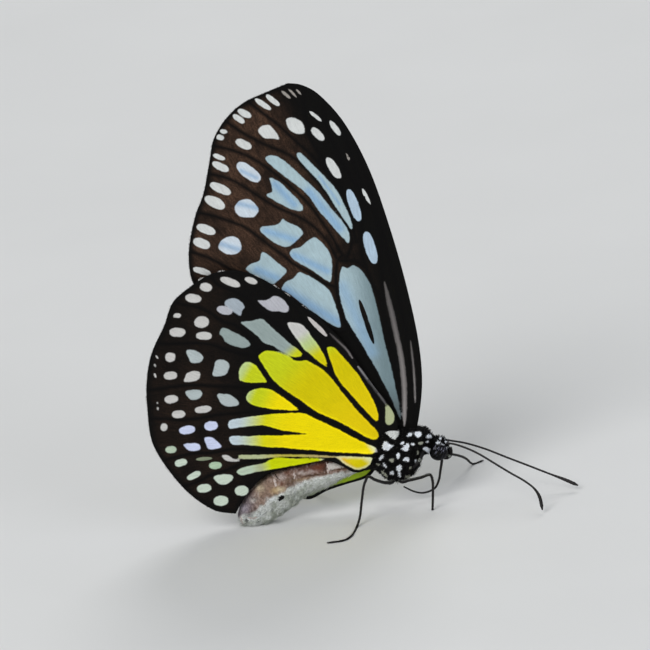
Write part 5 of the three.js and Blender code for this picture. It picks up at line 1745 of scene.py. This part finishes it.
# How far back the palps are set, to make room for their hair.
PALP_BACK = 0.05
FORELEG = [(20.75, 1.1, 6.2), (20.35, 1.76, 5.6), (19.88, 1.98, 5.1), (19.52, 2.08, 4.85)]


def build_proboscis():
    """The tongue is two grooved halves side by side, so its section is a shallow figure of eight."""
    line, _ = limb_line(PROBOSCIS, 20)
    line = evenly(line, 0.07)
    share = np.linspace(0, 1, len(line))
    radii = (0.14 - 0.06 * share) * (1 + 0.04 * np.sin(share * 190))
    tube = Tube(line, radii, 14, 0.16)
    limb_piece("proboscis_grooved", [tube.part()], "chitin_black", "proboscis")


def build_foreleg(label, side):
    line, joints = limb_line(mirrored(FORELEG, side))
    tube = Tube(line, np.interp(joints, [0, 1, 2, 3], [0.2, 0.18, 0.16, 0.12]))
    hair = tube.bristles(np.arange(len(line)), per_row=9, length=0.28, width=0.05, lift=0.35)
    pale = (np.abs(joints - 1.3) < 0.25) * 0.9
    limb_piece(f"foreleg_{label}_furred", [tube.part(), hair], "chitin_black", f"foreleg_{label}",
               np.repeat(pale, tube.sides))


def build_palp(label, side):
    line, joints = limb_line(mirrored(PALP, side))
    line[:, 0] -= PALP_BACK
    tube = Tube(line, np.interp(joints, [0, 1, 2, 3], [0.22, 0.24, 0.22, 0.12]))
    hair = tube.bristles(np.arange(len(line)), per_row=14, length=0.26, width=0.055, lift=0.5)
    pale = (np.abs(joints - 1.5) < 0.3) * 1.0
    limb_piece(f"palp_{label}_furred", [tube.part(), hair], "body_scales_black", f"palp_{label}",
               np.repeat(pale, tube.sides))


cuticle = leg_cuticle()
facets = eye_facets()
for label, side in SIDES:
    build_eye(label, side, facets)
    build_foreleg(label, side)
    build_palp(label, side)
for name, (points, knee, ankle) in LEGS.items():
    build_leg(name, points, knee, ankle)
for name, points in ANTENNAE.items():
    build_antenna(name, points)
build_proboscis()


# ---- Floor, light and camera ----

# Half the width of the floor, in metres.
FLOOR_HALF = 3.0


def paper_floor():
    """Matt paper sweep: pale, even, with the faintest mottle."""
    material, tree = new_material("floor_paper")
    place = add(tree, "NewGeometry")
    mottle = add(tree, "TexNoise", inputs={"Vector": place, "Scale": 40.0})
    colour = add(tree, "Mix", {"data_type": "RGBA"}, {
        0: mottle.outputs["Fac"], 6: rgba("#dcdcda"), 7: rgba("#e2e2e0")})
    shader = add(tree, "BsdfPrincipled", inputs={
        "Base Color": colour.outputs[2], "Roughness": 0.9, "Specular IOR Level": 0.1})
    add(tree, "OutputMaterial", inputs={0: shader})
    mesh = bpy.data.meshes.new("floor")
    corners = [(x * FLOOR_HALF, y * FLOOR_HALF, 0) for x, y in ((-1, -1), (1, -1), (1, 1), (-1, 1))]
    mesh.from_pydata(corners, [], [(0, 1, 2, 3)])
    mesh.materials.append(material)
    floor = bpy.data.objects.new("floor", mesh)
    bpy.context.scene.collection.objects.link(floor)


def soft_light(name, place, aim, size, watts, colour):
    light = bpy.data.lights.new(name, "AREA")
    light.shape = "DISK"
    light.size = size
    light.energy = watts
    light.color = linear(colour)
    lamp = bpy.data.objects.new(name, light)
    lamp.location = place
    lamp.rotation_euler = (Vector(aim) - Vector(place)).to_track_quat("-Z", "Y").to_euler()
    bpy.context.scene.collection.objects.link(lamp)


paper_floor()
AIM = Vector((-2.37, 0.0, 22.22)) * MM
soft_light("key", (-0.35, -0.45, 0.55), AIM, 0.5, 3.1, "#ffffff")
soft_light("fill", (0.5, -0.5, 0.25), AIM, 0.6, 1.35, "#f4f8ff")
soft_light("back", (0.15, 0.5, 0.5), AIM, 0.4, 1.6, "#ffffff")

world = bpy.data.worlds.new("studio")
world.use_nodes = True
world.node_tree.nodes["Background"].inputs[0].default_value = (0.9, 0.94, 1.0, 1.0)
world.node_tree.nodes["Background"].inputs[1].default_value = 0.34
bpy.context.scene.world = world
bpy.context.scene.view_settings.view_transform = "Standard"

# The camera looks 20 degrees down onto the right side, and leans 8 degrees.
LOOKING = Vector((0.0, 0.9397, -0.3420))
CAMERA_RIGHT = Vector((0.99027, -0.04760, -0.13078))
CAMERA_UP = Vector((0.13917, 0.33869, 0.93055))
FRAME_WIDTH = 72.2 * MM
LENS = 800.0
SENSOR = 36.0
camera_data = bpy.data.cameras.new("camera")
camera_data.lens = LENS
camera_data.sensor_width = SENSOR
camera_data.clip_start = 0.05
camera = bpy.data.objects.new("camera", camera_data)
away = FRAME_WIDTH * LENS / SENSOR
turned = Matrix((CAMERA_RIGHT, CAMERA_UP, -LOOKING)).transposed().to_4x4()
camera.matrix_world = Matrix.Translation(AIM - LOOKING * away) @ turned
bpy.context.scene.collection.objects.link(camera)
bpy.context.scene.camera = camera
